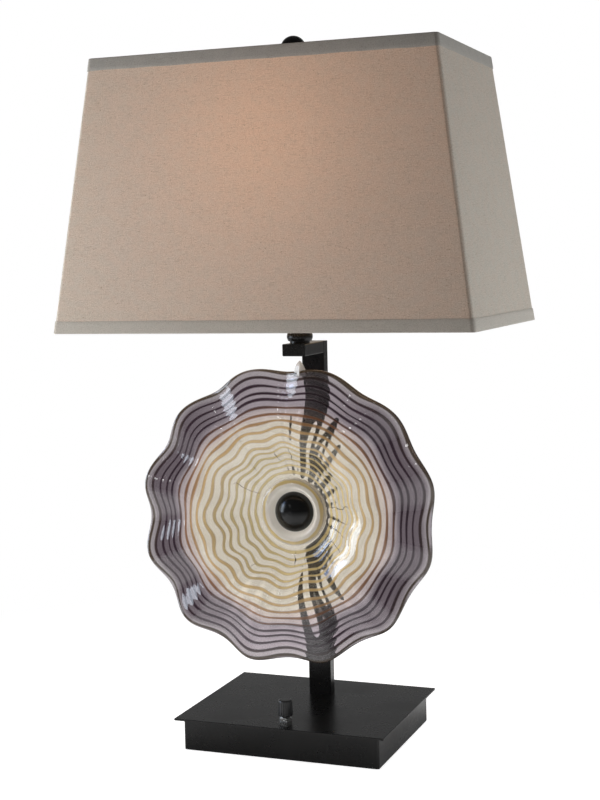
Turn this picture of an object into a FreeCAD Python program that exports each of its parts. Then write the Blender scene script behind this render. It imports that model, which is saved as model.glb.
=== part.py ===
"""Art glass table lamp: each piece is one solid body, written to its own STEP file.

Millimetres, +Z up. The origin is on the table at the middle of the base. The disc, the switch
and the arm's free end face -Y.
"""
import FreeCAD, Part
import math
import os

from FreeCAD import Vector

# Base plate and box
PLATE_WIDTH = 230.0
PLATE_DEPTH = 186.0
PLATE_THICK = 2.0
PLATE_CORNER = 1.0
PLATE_EDGE_BEVEL = 0.4
PLATE_OVERHANG = 7.6
BOX_HEIGHT = 32.5
BOX_WALL = 1.5
BOX_CORNER = 2.5
LUG_SIDE = 18.0
LUG_THICK = 2.0

# What closes the base from below
FOOT_RADIUS = 7.0
FOOT_THICK = 3.0
FOOT_INSET = 27.0
SKIRT_CLEARANCE = 1.0
COVER_THICK = 1.2
COVER_GAP = 0.3
BALLAST_WIDTH = 140.0
BALLAST_DEPTH = 84.0
BALLAST_THICK = 12.0
BALLAST_Y = -4.0
BALLAST_CORNER = 6.0
BALLAST_SCREW_X = 50.0

# Screws: shank radius, head radius, head height
COVER_SCREW = (1.5, 2.8, 1.6)
BALLAST_SCREW = (2.5, 4.4, 2.2)
FOOT_SCREW = (2.0, 3.8, 2.4)
SCREW_HOLE_GAP = 0.2
THREAD_GAP = 0.05

# Cord inlet
INLET_HEIGHT = 15.0
INLET_BORE = 3.6
GROMMET_BODY = 5.4
GROMMET_FLANGE = 7.6
GROMMET_FLANGE_THICK = 1.5
GROMMET_GAP = 0.1

# Rotary switch
SWITCH_Y = -65.5
SWITCH_BODY = (24.0, 18.0, 14.0)
SWITCH_BUSH_RADIUS = 4.9
SWITCH_BUSH_REACH = 5.2
SWITCH_NUT_FLATS = 12.0
SWITCH_NUT_HEIGHT = 4.2
SWITCH_SHAFT_RADIUS = 2.0
SWITCH_SHAFT_DEPTH = 8.0
RUNNING_GAP = 0.06
KNOB_LIFT = 5.6
KNOB_RADIUS = 7.6
KNOB_TOP_RADIUS = 7.3
KNOB_HEIGHT = 17.0
KNOB_FLUTES = 18
KNOB_FLUTE_RADIUS = 0.55
KNOB_CROWN = 1.6

# Post and arm, both of one rectangular tube
TUBE_WIDTH = 25.4
TUBE_DEPTH = 12.7
TUBE_WALL = 1.4
TUBE_CORNER = 1.2
POST_FRONT_Y = 36.9
POST_TOP_Z = 422.8
END_CAP_THICK = 1.6
FOOT_BLOCK_HEIGHT = 14.0
FOOT_BLOCK_GAP = 0.2
FOOT_SCREW_X = 7.2
WIRE_HOLE = 3.0
ARM_FRONT_Y = -18.7
WIRE_SLOT = (12.0, 7.0)
WELD_NUT_FLATS = 14.0
WELD_NUT_HEIGHT = 6.0

# Neck, saddle and harp
NIPPLE_RADIUS = 4.9
NIPPLE_BORE = 3.4
NIPPLE_TOP_REACH = 9.0
NECK_WASHER_RADIUS = 10.5
NECK_WASHER_THICK = 2.3
NECK_RING_HEIGHT = 9.8
NECK_RING_RADIUS = 13.7
NECK_RING_END_RADIUS = 12.7
SADDLE_THICK = 1.3
SADDLE_WIDTH = 14.0
SADDLE_HALF_SPAN = 27.0
SADDLE_MIDDLE_HALF = 13.0
SADDLE_PIN_HEIGHT = 9.0
HARP_WIRE_RADIUS = 2.0
HARP_LEG_STRAIGHT = 21.5
HARP_FLARE_ANGLE = 22.0
HARP_FLARE_RADIUS = 40.0
HARP_BOW_RADIUS = 250.0
HARP_LEAN_ANGLE = 23.0
HARP_SHOULDER_RADIUS = 22.0
SLEEVE_RADIUS = 3.3
SLEEVE_LENGTH = 16.0
SLEEVE_LIP = 0.6
SLIDE_GAP = 0.3
STUD_BLOCK_RADIUS = 7.0
STUD_BLOCK_OVER_WIRE = 3.4
STUD_BLOCK_UNDER_WIRE = 2.4
STUD_SEAT_RADIUS = 11.0
STUD_SEAT_THICK = 1.5
STUD_RADIUS = 3.1
STUD_REACH = 22.0

# Socket and bulb
SOCKET_CAP_FOOT_RADIUS = 9.5
SOCKET_CAP_HEIGHT = 16.0
SOCKET_CAP_WALL = 1.0
SOCKET_SHELL_RADIUS = 17.0
SOCKET_SHELL_WALL = 0.8
SOCKET_SHELL_HEIGHT = 45.0
SOCKET_BEAD = 0.9
LINER_THICK = 0.6
SOCKET_FIT = 0.1
SOCKET_BODY_HEIGHT = 15.0
SCREW_SHELL_RADIUS = 14.4
SCREW_SHELL_WALL = 0.6
SCREW_SHELL_HEIGHT = 25.0
SCREW_RIDGE_COUNT = 6
SCREW_RIDGE = 0.45
CONTACT_HEIGHT = 2.2
BULB_THREAD_GAP = 0.35
BULB_BASE_HEIGHT = 22.0
BULB_TIP_HEIGHT = 3.4
BULB_RADIUS = 30.0
BULB_NECK_RADIUS = 14.0
BULB_NECK_HEIGHT = 14.0
BULB_GLASS_HEIGHT = 86.0
BULB_WALL = 0.8

# Glass disc
DISC_Z = 248.0
DISC_RADIUS = 149.2
DISC_OVAL_RATIO = 1.04
DISC_BORE = 5.5
DISC_SEAT_RADIUS = 18.5
DISC_SEAT_Y = -20.0
HUB_THICK = 8.0
BOWL_THICK = 6.5
RIM_THICK = 5.0
COLLAR_RADIUS = 27.0
COLLAR_RISE = 13.5
COLLAR_DIP = 3.0
COLLAR_FOOT_RADIUS = 38.0
BOWL_RISE = 29.5
BOWL_CREST_RADIUS = 88.0
RIM_FALL = 6.8
RIM_LEAN = 9.5
RIM_TURN = 5.2
FLUTES = 12
FLUTE_START_RADIUS = 80.0
FLUTE_LOBE = 3.3
FLUTE_DEPTH = 5.0
FLUTE_PHASE_ANGLE = 15.0
FLUTE_LAG_ANGLE = 126.0
RIM_ROUNDING = 1.9
POINTS_PER_FLUTE = 6
FIN_ANGLE = 84.0
FIN_WIDTH = 14.0
FIN_HEIGHT = 12.0
FIN_ROOT = 4.0
FIN_THICK = 3.0

# What holds the disc
ROD_RADIUS = 3.0
ROD_GAP = 0.3
RUBBER_THICK = 1.5
RUBBER_RADIUS = 17.0
STANDOFF_RADIUS = 9.5
STANDOFF_FLANGE_RADIUS = 17.0
STANDOFF_FLANGE_THICK = 3.0
CAP_RADIUS = 21.2
CAP_BOSS_RADIUS = 13.0
CAP_BOSS_HEIGHT = 5.0
CAP_DOME_HEIGHT = 15.0
CAP_SHOULDER = 9.0
CAP_BORE_DEPTH = 13.5
ROD_WASHER_RADIUS = 8.0
ROD_WASHER_THICK = 1.5
ROD_NUT_FLATS = 10.0
ROD_NUT_HEIGHT = 5.0
ROD_NUT_DOME = 4.0
ROD_NUT_SHOULDER = 2.4

# Shade
SHADE_BOTTOM_WIDTH = 444.0
SHADE_BOTTOM_DEPTH = 254.0
SHADE_TOP_WIDTH = 367.0
SHADE_TOP_DEPTH = 206.0
SHADE_HEIGHT = 276.5
SHADE_CORNER = 7.0
PANEL_THICK = 1.2
TRIM_THICK = 0.7
TRIM_HEIGHT = 12.0
TRIM_INNER_HEIGHT = 5.0
FRAME_WIRE_RADIUS = 1.5
FRAME_WIRE_GAP = 0.1
HUB_RECESS = 25.5
HUB_RADIUS = 15.0
HUB_BORE = 4.2
HUB_PLATE_THICK = 1.4
SPIDER_WIRE_RADIUS = 1.4
TRIM_SLIT_GAP = 0.15

# Finial
FINIAL_HEIGHT = 46.9
FINIAL_BALL_RADIUS = 13.4
FINIAL_FOOT_RADIUS = 8.0
FINIAL_FOOT_HEIGHT = 3.0
FINIAL_NECK_RADIUS = 4.6

# Levels and places that follow from the sizes above
SKIRT_Z = SKIRT_CLEARANCE
PLATE_UNDER_Z = SKIRT_Z + BOX_HEIGHT
PLATE_TOP_Z = PLATE_UNDER_Z + PLATE_THICK
BOX_WIDTH = PLATE_WIDTH - 2 * PLATE_OVERHANG
BOX_DEPTH = PLATE_DEPTH - 2 * PLATE_OVERHANG
COVER_Z = FOOT_THICK
COVER_TOP_Z = COVER_Z + COVER_THICK
COVER_SCREW_X = BOX_WIDTH / 2 - BOX_WALL - LUG_SIDE / 2
COVER_SCREW_Y = BOX_DEPTH / 2 - BOX_WALL - LUG_SIDE / 2
BALLAST_TOP_Z = COVER_TOP_Z + BALLAST_THICK
POST_Y = POST_FRONT_Y + TUBE_DEPTH / 2
POST_BACK_Y = POST_FRONT_Y + TUBE_DEPTH
ARM_MID_Z = POST_TOP_Z - TUBE_DEPTH / 2
NECK_RING_Z = POST_TOP_Z + NECK_WASHER_THICK
NECK_TOP_Z = NECK_RING_Z + NECK_RING_HEIGHT
SADDLE_TOP_Z = NECK_TOP_Z + SADDLE_THICK
HARP_FOOT_Z = SADDLE_TOP_Z + SADDLE_PIN_HEIGHT
SOCKET_MOUTH_Z = SADDLE_TOP_Z + SOCKET_CAP_HEIGHT
SHELL_BOTTOM_Z = SOCKET_MOUTH_Z - 4.0
SHELL_TOP_Z = SHELL_BOTTOM_Z + SOCKET_SHELL_HEIGHT
SOCKET_BODY_TOP_Z = SHELL_BOTTOM_Z + SOCKET_BODY_HEIGHT
CONTACT_TOP_Z = SOCKET_BODY_TOP_Z + CONTACT_HEIGHT
BULB_TIP_Z = CONTACT_TOP_Z + SLIDE_GAP
BULB_BASE_Z = BULB_TIP_Z + BULB_TIP_HEIGHT
BULB_GLASS_Z = BULB_BASE_Z + BULB_BASE_HEIGHT
DISC_BACK_Y = DISC_SEAT_Y + HUB_THICK


def export(shape, name):
    """Write one node and say how many solids it holds and how large they are."""
    if not shape.isValid():
        print("INVALID", name)
    shape.exportStep(os.path.join("parts", name + ".step"))
    print(name, len(shape.Solids), round(shape.Volume, 1))


def box(width, depth, height, x=0.0, y=0.0, z=0.0):
    """A block centred on x and y, standing on z."""
    return Part.makeBox(width, depth, height, Vector(x - width / 2, y - depth / 2, z))


def rod(radius, z_low, z_high, x=0.0, y=0.0):
    """An upright cylinder between two levels."""
    return Part.makeCylinder(radius, z_high - z_low, Vector(x, y, z_low))


def cross_rod(radius, y_low, y_high, x=0.0, z=0.0):
    """A cylinder along Y between two depths."""
    return Part.makeCylinder(radius, y_high - y_low, Vector(x, y_low, z), Vector(0, 1, 0))


def rounded_outline(width, depth, radius, z, x=0.0, y=0.0):
    """A closed rectangle with round corners, flat at level z."""
    a, b = width / 2, depth / 2
    corners = [(a - radius, b - radius, 0), (radius - a, b - radius, 90),
               (radius - a, radius - b, 180), (a - radius, radius - b, 270)]
    arcs = []
    for cx, cy, start in corners:
        circle = Part.Circle(Vector(x + cx, y + cy, z), Vector(0, 0, 1), radius)
        arcs.append(circle.toShape(math.radians(start), math.radians(start + 90)))
    edges = []
    for arc, following in zip(arcs, arcs[1:] + arcs[:1]):
        edges.append(arc)
        edges.append(Part.makeLine(arc.Vertexes[-1].Point, following.Vertexes[0].Point))
    return Part.Wire(edges)


def rounded_block(width, depth, radius, z_low, z_high, x=0.0, y=0.0):
    """A block with round upright edges."""
    outline = rounded_outline(width, depth, radius, z_low, x, y)
    return Part.Face(outline).extrude(Vector(0, 0, z_high - z_low))


def hexagon(flats, z_low, z_high, x=0.0, y=0.0):
    """An upright hexagonal prism given by its width across flats."""
    reach = flats / math.sqrt(3)
    points = [Vector(x + reach * math.cos(math.radians(60 * k)),
                     y + reach * math.sin(math.radians(60 * k)), z_low) for k in range(7)]
    return Part.Face(Part.makePolygon(points)).extrude(Vector(0, 0, z_high - z_low))


def turned(profile, x=0.0, y=0.0):
    """Turn a closed outline of (radius, z) points and arcs about the upright axis.

    A step in the outline is a point, or a pair of points: a point on an arc and the arc's end.
    """
    start = Vector(profile[0][0], 0, profile[0][1])
    here = start
    edges = []
    for step in profile[1:]:
        if isinstance(step[0], tuple):
            middle = Vector(step[0][0], 0, step[0][1])
            end = Vector(step[1][0], 0, step[1][1])
            edges.append(Part.Arc(here, middle, end).toShape())
        else:
            end = Vector(step[0], 0, step[1])
            edges.append(Part.makeLine(here, end))
        here = end
    edges.append(Part.makeLine(here, start))
    solid = Part.Face(Part.Wire(edges)).revolve(Vector(0, 0, 0), Vector(0, 0, 1), 360)
    solid.translate(Vector(x, y, 0))
    return solid


def dome(radius, base, height, shoulder):
    """Steps of an oblate dome from its edge to its top: a shoulder arc tangent to a crown arc."""
    reach = radius - shoulder
    rise = abs(height)
    sign = 1 if height > 0 else -1
    crown = (reach ** 2 + rise ** 2 - shoulder ** 2) / (2 * (rise - shoulder))
    turn = math.atan2(crown - rise, reach)

    def on_arc(centre_x, centre_z, size, angle):
        return (centre_x + size * math.cos(angle), base + sign * (centre_z + size * math.sin(angle)))

    meet = on_arc(reach, 0, shoulder, turn)
    half_crown = (turn + math.pi / 2) / 2
    return [(on_arc(reach, 0, shoulder, turn / 2), meet),
            (on_arc(0, rise - crown, crown, half_crown), (0, base + height))]


def laid_to_back(solid, y, z):
    """Lay a solid turned about the upright axis on its side, so that its +Z points to +Y."""
    solid.rotate(Vector(0, 0, 0), Vector(1, 0, 0), -90)
    solid.translate(Vector(0, y, z))
    return solid


def screw(size, z_head, length, x, y):
    """A pan-head screw with its head's upper face at z_head and its shank going up."""
    shank, head, height = size
    shape = rod(head, z_head - height, z_head, x, y)
    shape = shape.makeFillet(height * 0.4, [shape.Edges[2]])
    return shape.fuse(rod(shank, z_head, z_head + length, x, y)).removeSplitter()


def four(x, y):
    """The four places at the same distance from both middle lines."""
    return [(x, y), (-x, y), (-x, -y), (x, -y)]


# Base


def make_base_box():
    """Folded skirt with a tapped lug in each corner and the inlet hole in its back wall."""
    outer = rounded_block(BOX_WIDTH, BOX_DEPTH, BOX_CORNER, SKIRT_Z, PLATE_UNDER_Z)
    inner_width, inner_depth = BOX_WIDTH - 2 * BOX_WALL, BOX_DEPTH - 2 * BOX_WALL
    inner = rounded_block(inner_width, inner_depth, BOX_CORNER - BOX_WALL, SKIRT_Z, PLATE_UNDER_Z)
    shape = outer.cut(inner)
    for x, y in four(COVER_SCREW_X, COVER_SCREW_Y):
        lug = box(LUG_SIDE, LUG_SIDE, LUG_THICK, x, y, COVER_TOP_Z)
        lug = lug.common(inner)
        lug = lug.cut(rod(COVER_SCREW[0] + THREAD_GAP, COVER_TOP_Z, COVER_TOP_Z + LUG_THICK, x, y))
        shape = shape.fuse(lug)
    hole = cross_rod(GROMMET_BODY + GROMMET_GAP, BOX_DEPTH / 2 - 2 * BOX_WALL, BOX_DEPTH / 2 + 1,
                     0, INLET_HEIGHT)
    return shape.cut(hole).removeSplitter()


def make_top_plate():
    """Thin plate with a bevelled top edge, drilled for the switch, the post screws and a wire."""
    shape = rounded_block(PLATE_WIDTH, PLATE_DEPTH, PLATE_CORNER, PLATE_UNDER_Z, PLATE_TOP_Z)
    top = [e for e in shape.Edges if abs(e.BoundBox.ZMin - PLATE_TOP_Z) < 1e-6]
    shape = shape.makeChamfer(PLATE_EDGE_BEVEL, top)
    holes = [(SWITCH_BUSH_RADIUS + SCREW_HOLE_GAP, 0, SWITCH_Y), (WIRE_HOLE, 0, POST_Y),
             (FOOT_SCREW[0] + SCREW_HOLE_GAP, FOOT_SCREW_X, POST_Y),
             (FOOT_SCREW[0] + SCREW_HOLE_GAP, -FOOT_SCREW_X, POST_Y)]
    for radius, x, y in holes:
        shape = shape.cut(rod(radius, PLATE_UNDER_Z, PLATE_TOP_Z, x, y))
    return shape


def make_bottom_cover():
    """Sheet cover inside the skirt, drilled for its own screws and the ballast's."""
    width = BOX_WIDTH - 2 * BOX_WALL - 2 * COVER_GAP
    depth = BOX_DEPTH - 2 * BOX_WALL - 2 * COVER_GAP
    shape = rounded_block(width, depth, BOX_CORNER - BOX_WALL, COVER_Z, COVER_TOP_Z)
    for x, y in four(COVER_SCREW_X, COVER_SCREW_Y):
        shape = shape.cut(rod(COVER_SCREW[0] + SCREW_HOLE_GAP, COVER_Z, COVER_TOP_Z, x, y))
    for x in (-BALLAST_SCREW_X, BALLAST_SCREW_X):
        hole = rod(BALLAST_SCREW[0] + SCREW_HOLE_GAP, COVER_Z, COVER_TOP_Z, x, BALLAST_Y)
        shape = shape.cut(hole)
    return shape


def make_ballast():
    """Cast slab that lies on the cover, with two tapped holes."""
    shape = rounded_block(BALLAST_WIDTH, BALLAST_DEPTH, BALLAST_CORNER, COVER_TOP_Z,
                          BALLAST_TOP_Z, 0, BALLAST_Y)
    top = [e for e in shape.Edges if abs(e.BoundBox.ZMin - BALLAST_TOP_Z) < 1e-6]
    shape = shape.makeChamfer(1.0, top)
    for x in (-BALLAST_SCREW_X, BALLAST_SCREW_X):
        hole = rod(BALLAST_SCREW[0] + THREAD_GAP, COVER_TOP_Z, BALLAST_TOP_Z, x, BALLAST_Y)
        shape = shape.cut(hole)
    return shape


def make_rubber_feet():
    """Four bumper feet under the cover, slightly narrower at the floor."""
    x = BOX_WIDTH / 2 - FOOT_INSET
    y = BOX_DEPTH / 2 - FOOT_INSET
    feet = []
    for fx, fy in four(x, y):
        foot = turned([(0, 0), (FOOT_RADIUS - 1, 0), (FOOT_RADIUS, FOOT_THICK), (0, FOOT_THICK)])
        foot.translate(Vector(fx, fy, 0))
        feet.append(foot)
    return Part.makeCompound(feet)


def make_cover_screws():
    """Four screws from below through the cover into the lugs."""
    length = COVER_THICK + LUG_THICK + 1.0
    return Part.makeCompound([screw(COVER_SCREW, COVER_Z, length, x, y)
                              for x, y in four(COVER_SCREW_X, COVER_SCREW_Y)])


def make_ballast_screws():
    """Two screws from below through the cover into the ballast."""
    length = COVER_THICK + BALLAST_THICK - 2.0
    return Part.makeCompound([screw(BALLAST_SCREW, COVER_Z, length, x, BALLAST_Y)
                              for x in (-BALLAST_SCREW_X, BALLAST_SCREW_X)])


def make_cord_grommet():
    """Snap-in grommet in the back wall: a flange on each side of the sheet and a round bore."""
    inner_y = BOX_DEPTH / 2 - BOX_WALL
    outer_y = BOX_DEPTH / 2
    back = outer_y + GROMMET_FLANGE_THICK
    front = inner_y - GROMMET_FLANGE_THICK
    profile = [(INLET_BORE, front), (GROMMET_BODY + 1.2, front), (GROMMET_BODY + 1.6, inner_y),
               (GROMMET_BODY, inner_y), (GROMMET_BODY, outer_y), (GROMMET_FLANGE, outer_y),
               (GROMMET_FLANGE - 0.8, back), (INLET_BORE, back)]
    return laid_to_back(turned(profile), 0, INLET_HEIGHT)


# Switch


def make_switch_body():
    """Moulded housing under the plate with a blind bearing for the shaft and two wire holes."""
    width, depth, height = SWITCH_BODY
    low = PLATE_UNDER_Z - height
    shape = box(width, depth, height, 0, SWITCH_Y, low)
    shape = shape.makeChamfer(1.5, [e for e in shape.Edges if e.BoundBox.ZLength > height - 0.1])
    shape = shape.cut(rod(SWITCH_SHAFT_RADIUS + RUNNING_GAP, PLATE_UNDER_Z - SWITCH_SHAFT_DEPTH - 0.3,
                          PLATE_UNDER_Z, 0, SWITCH_Y))
    for x in (-width / 4, width / 4):
        hole = cross_rod(1.3, SWITCH_Y + depth / 2 - 6, SWITCH_Y + depth / 2, x, low + height / 3)
        shape = shape.cut(hole)
    return shape


def make_switch_bush():
    """Threaded bush that stands up through the plate."""
    low, high = PLATE_UNDER_Z, PLATE_TOP_Z + SWITCH_BUSH_REACH
    bore = SWITCH_SHAFT_RADIUS + RUNNING_GAP
    ridge = 0.25
    pitch = 1.0
    profile = [(bore, low), (SWITCH_BUSH_RADIUS - ridge, low)]
    count = int((high - low) / pitch)
    for k in range(count):
        z = low + k * pitch
        profile.append((SWITCH_BUSH_RADIUS, z + pitch / 2))
        profile.append((SWITCH_BUSH_RADIUS - ridge, z + pitch))
    profile.append((SWITCH_BUSH_RADIUS - ridge, high))
    profile.append((bore, high))
    return turned([p for k, p in enumerate(profile) if k == 0 or p != profile[k - 1]], 0, SWITCH_Y)


def make_switch_nut():
    """Hexagon nut that clamps the bush to the plate, with its upper corners turned off."""
    low, high = PLATE_TOP_Z, PLATE_TOP_Z + SWITCH_NUT_HEIGHT
    shape = hexagon(SWITCH_NUT_FLATS, low, high, 0, SWITCH_Y)
    reach = SWITCH_NUT_FLATS / math.sqrt(3)
    cone = turned([(0, low - 1), (reach + 1, low - 1), (reach + 1, high - 1.6),
                   (SWITCH_NUT_FLATS / 2, high), (0, high)], 0, SWITCH_Y)
    shape = shape.common(cone)
    return shape.cut(rod(SWITCH_BUSH_RADIUS + THREAD_GAP, low, high, 0, SWITCH_Y))


def make_switch_shaft():
    """Shaft that turns in the bush and carries the knob."""
    low = PLATE_UNDER_Z - SWITCH_SHAFT_DEPTH
    high = PLATE_TOP_Z + KNOB_LIFT + KNOB_HEIGHT * 0.65
    return rod(SWITCH_SHAFT_RADIUS, low, high, 0, SWITCH_Y)


def make_switch_knob():
    """Fluted knob with a rounded crown and a blind bore for the shaft."""
    low = PLATE_TOP_Z + KNOB_LIFT
    high = low + KNOB_HEIGHT
    edge = high - KNOB_CROWN
    shape = turned([(0, low), (KNOB_RADIUS - 0.5, low), (KNOB_RADIUS, low + 0.5),
                    (KNOB_TOP_RADIUS, edge),
                    ((KNOB_TOP_RADIUS - 0.35 * KNOB_CROWN, high - 0.35 * KNOB_CROWN),
                     (KNOB_TOP_RADIUS - KNOB_CROWN, high)), (0, high)], 0, SWITCH_Y)
    flutes = []
    for k in range(KNOB_FLUTES):
        angle = math.radians(360 * k / KNOB_FLUTES)
        x = KNOB_RADIUS * math.cos(angle)
        y = SWITCH_Y + KNOB_RADIUS * math.sin(angle)
        flutes.append(rod(KNOB_FLUTE_RADIUS, low, edge - 0.6, x, y))
    shape = shape.cut(Part.makeCompound(flutes))
    bore = rod(SWITCH_SHAFT_RADIUS + THREAD_GAP, low, low + KNOB_HEIGHT * 0.65 + THREAD_GAP,
               0, SWITCH_Y)
    return shape.cut(bore)


# Post and arm


def rectangular_tube(length):
    """A tube standing on the origin, TUBE_WIDTH along X and TUBE_DEPTH along Y."""
    outer = rounded_block(TUBE_WIDTH, TUBE_DEPTH, TUBE_CORNER, 0, length)
    inner = box(TUBE_WIDTH - 2 * TUBE_WALL, TUBE_DEPTH - 2 * TUBE_WALL, length)
    return outer.cut(inner)


def make_post():
    """Upright tube with the rod hole through both faces and the wire slot to the arm."""
    shape = rectangular_tube(POST_TOP_Z - END_CAP_THICK - PLATE_TOP_Z)
    shape.translate(Vector(0, POST_Y, PLATE_TOP_Z))
    shape = shape.cut(cross_rod(ROD_RADIUS + ROD_GAP, POST_FRONT_Y, POST_BACK_Y, 0, DISC_Z))
    slot = box(WIRE_SLOT[0], TUBE_WALL, WIRE_SLOT[1], 0, POST_FRONT_Y + TUBE_WALL / 2,
               ARM_MID_Z - WIRE_SLOT[1] / 2)
    return shape.cut(slot)


def make_post_cap():
    """Flat plate that closes the post's top."""
    return rounded_block(TUBE_WIDTH, TUBE_DEPTH, TUBE_CORNER, POST_TOP_Z - END_CAP_THICK,
                         POST_TOP_Z, 0, POST_Y)


def make_foot_block():
    """Block in the post's foot with two tapped holes and a wire hole between them."""
    width = TUBE_WIDTH - 2 * TUBE_WALL - 2 * FOOT_BLOCK_GAP
    depth = TUBE_DEPTH - 2 * TUBE_WALL - 2 * FOOT_BLOCK_GAP
    top = PLATE_TOP_Z + FOOT_BLOCK_HEIGHT
    shape = box(width, depth, FOOT_BLOCK_HEIGHT, 0, POST_Y, PLATE_TOP_Z)
    shape = shape.cut(rod(WIRE_HOLE, PLATE_TOP_Z, top, 0, POST_Y))
    for x in (-FOOT_SCREW_X, FOOT_SCREW_X):
        shape = shape.cut(rod(FOOT_SCREW[0] + THREAD_GAP, PLATE_TOP_Z, top, x, POST_Y))
    return shape


def make_post_screws():
    """Two screws from under the plate into the foot block."""
    length = PLATE_THICK + FOOT_BLOCK_HEIGHT - 3.0
    return Part.makeCompound([screw(FOOT_SCREW, PLATE_UNDER_Z, length, x, POST_Y)
                              for x in (-FOOT_SCREW_X, FOOT_SCREW_X)])


def make_arm():
    """Level tube from the post's face forward, with the nipple hole in its upper wall."""
    start = ARM_FRONT_Y + END_CAP_THICK
    shape = rectangular_tube(POST_FRONT_Y - start)
    shape.rotate(Vector(0, 0, 0), Vector(1, 0, 0), -90)
    shape.translate(Vector(0, start, ARM_MID_Z))
    hole = rod(NIPPLE_RADIUS + SCREW_HOLE_GAP, ARM_MID_Z, POST_TOP_Z)
    return shape.cut(hole)


def make_arm_end_cap():
    """Flat plate that closes the arm's free end."""
    shape = rounded_block(TUBE_WIDTH, TUBE_DEPTH, TUBE_CORNER, 0, END_CAP_THICK)
    return laid_to_back(shape, ARM_FRONT_Y, ARM_MID_Z)


def make_weld_nut():
    """Nut welded inside the arm under its upper wall."""
    high = POST_TOP_Z - TUBE_WALL
    low = high - WELD_NUT_HEIGHT
    return hexagon(WELD_NUT_FLATS, low, high).cut(rod(NIPPLE_RADIUS + THREAD_GAP, low, high))


# Neck and harp


def make_nipple():
    """Hollow threaded tube that carries the socket and leads the wire."""
    low = POST_TOP_Z - TUBE_WALL - WELD_NUT_HEIGHT
    high = SADDLE_TOP_Z + NIPPLE_TOP_REACH
    return rod(NIPPLE_RADIUS, low, high).cut(rod(NIPPLE_BORE, low, high))


def make_neck_washer():
    """Plain washer that lifts the neck ring off the arm."""
    bore = NIPPLE_RADIUS + SCREW_HOLE_GAP
    washer_blank = rod(NECK_WASHER_RADIUS, POST_TOP_Z, NECK_RING_Z)
    return washer_blank.cut(rod(bore, POST_TOP_Z, NECK_RING_Z))


def make_neck_ring():
    """Bulged ring between the arm and the saddle."""
    bore = NIPPLE_RADIUS + SCREW_HOLE_GAP
    low, high = NECK_RING_Z, NECK_TOP_Z
    middle = (low + high) / 2
    bead = 1.2
    return turned([(bore, low), (NECK_RING_END_RADIUS - bead, low),
                   ((NECK_RING_END_RADIUS - 0.3 * bead, low + 0.3 * bead),
                    (NECK_RING_END_RADIUS, low + bead)),
                   ((NECK_RING_RADIUS, middle), (NECK_RING_END_RADIUS, high - bead)),
                   ((NECK_RING_END_RADIUS - 0.3 * bead, high - 0.3 * bead),
                    (NECK_RING_END_RADIUS - bead, high)), (bore, high)])


def make_saddle():
    """Strip across the neck with a rolled pin standing up at each end for a harp leg."""
    length = 2 * SADDLE_HALF_SPAN
    shape = rounded_block(length + 2 * HARP_WIRE_RADIUS + 3, SADDLE_WIDTH, 3.0, NECK_TOP_Z,
                          SADDLE_TOP_Z)
    waist = SADDLE_HALF_SPAN - SADDLE_MIDDLE_HALF
    notch = 2.6
    for side in (-1, 1):
        for edge in (-1, 1):
            shape = shape.cut(rounded_block(waist * 0.8, 2 * notch, notch * 0.95, NECK_TOP_Z,
                                            SADDLE_TOP_Z, side * (SADDLE_HALF_SPAN - waist * 0.6),
                                            edge * SADDLE_WIDTH / 2))
        shape = shape.fuse(rod(HARP_WIRE_RADIUS, SADDLE_TOP_Z, HARP_FOOT_Z,
                               side * SADDLE_HALF_SPAN))
    shape = shape.cut(rod(NIPPLE_RADIUS + SCREW_HOLE_GAP, NECK_TOP_Z, SADDLE_TOP_Z))
    return shape.removeSplitter()


def turn_left(here, heading, radius, angle):
    """An arc in the XZ plane that turns by a signed angle; returns the edge, end and heading."""
    sign = 1 if angle > 0 else -1
    normal = Vector(-math.sin(math.radians(heading)), 0, math.cos(math.radians(heading))) * sign
    centre = here + normal * radius
    points = []
    for share in (0.5, 1.0):
        turned_by = math.radians(angle * share)
        arm = here - centre
        points.append(centre + Vector(arm.x * math.cos(turned_by) - arm.z * math.sin(turned_by), 0,
                                      arm.x * math.sin(turned_by) + arm.z * math.cos(turned_by)))
    return Part.Arc(here, points[0], points[1]).toShape(), points[1], heading + angle


def harp_side():
    """Centre line of one harp leg, from its foot to where it runs level at the top."""
    here = Vector(SADDLE_HALF_SPAN, 0, HARP_FOOT_Z)
    straight_end = here + Vector(0, 0, HARP_LEG_STRAIGHT)
    edges = [Part.makeLine(here, straight_end)]
    heading = 90.0
    here = straight_end
    turns = [(HARP_FLARE_RADIUS, -HARP_FLARE_ANGLE),
             (HARP_BOW_RADIUS, HARP_FLARE_ANGLE + HARP_LEAN_ANGLE),
             (HARP_SHOULDER_RADIUS, 90.0 - HARP_LEAN_ANGLE)]
    for radius, angle in turns:
        edge, here, heading = turn_left(here, heading, radius, angle)
        edges.append(edge)
    return edges, here


# Levels above the harp, which carries the shade and the finial
HARP_TOP_Z = harp_side()[1].z
STUD_BLOCK_TOP_Z = HARP_TOP_Z + STUD_BLOCK_OVER_WIRE
STUD_SEAT_Z = STUD_BLOCK_TOP_Z + STUD_SEAT_THICK
STUD_TOP_Z = STUD_SEAT_Z + STUD_REACH
HUB_Z = STUD_SEAT_Z + SLIDE_GAP
HUB_TOP_Z = HUB_Z + HUB_PLATE_THICK
SHADE_TOP_Z = HUB_Z + HUB_RECESS
SHADE_BOTTOM_Z = SHADE_TOP_Z - SHADE_HEIGHT
FINIAL_Z = HUB_TOP_Z + SLIDE_GAP
FINIAL_TOP_Z = FINIAL_Z + FINIAL_HEIGHT


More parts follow.
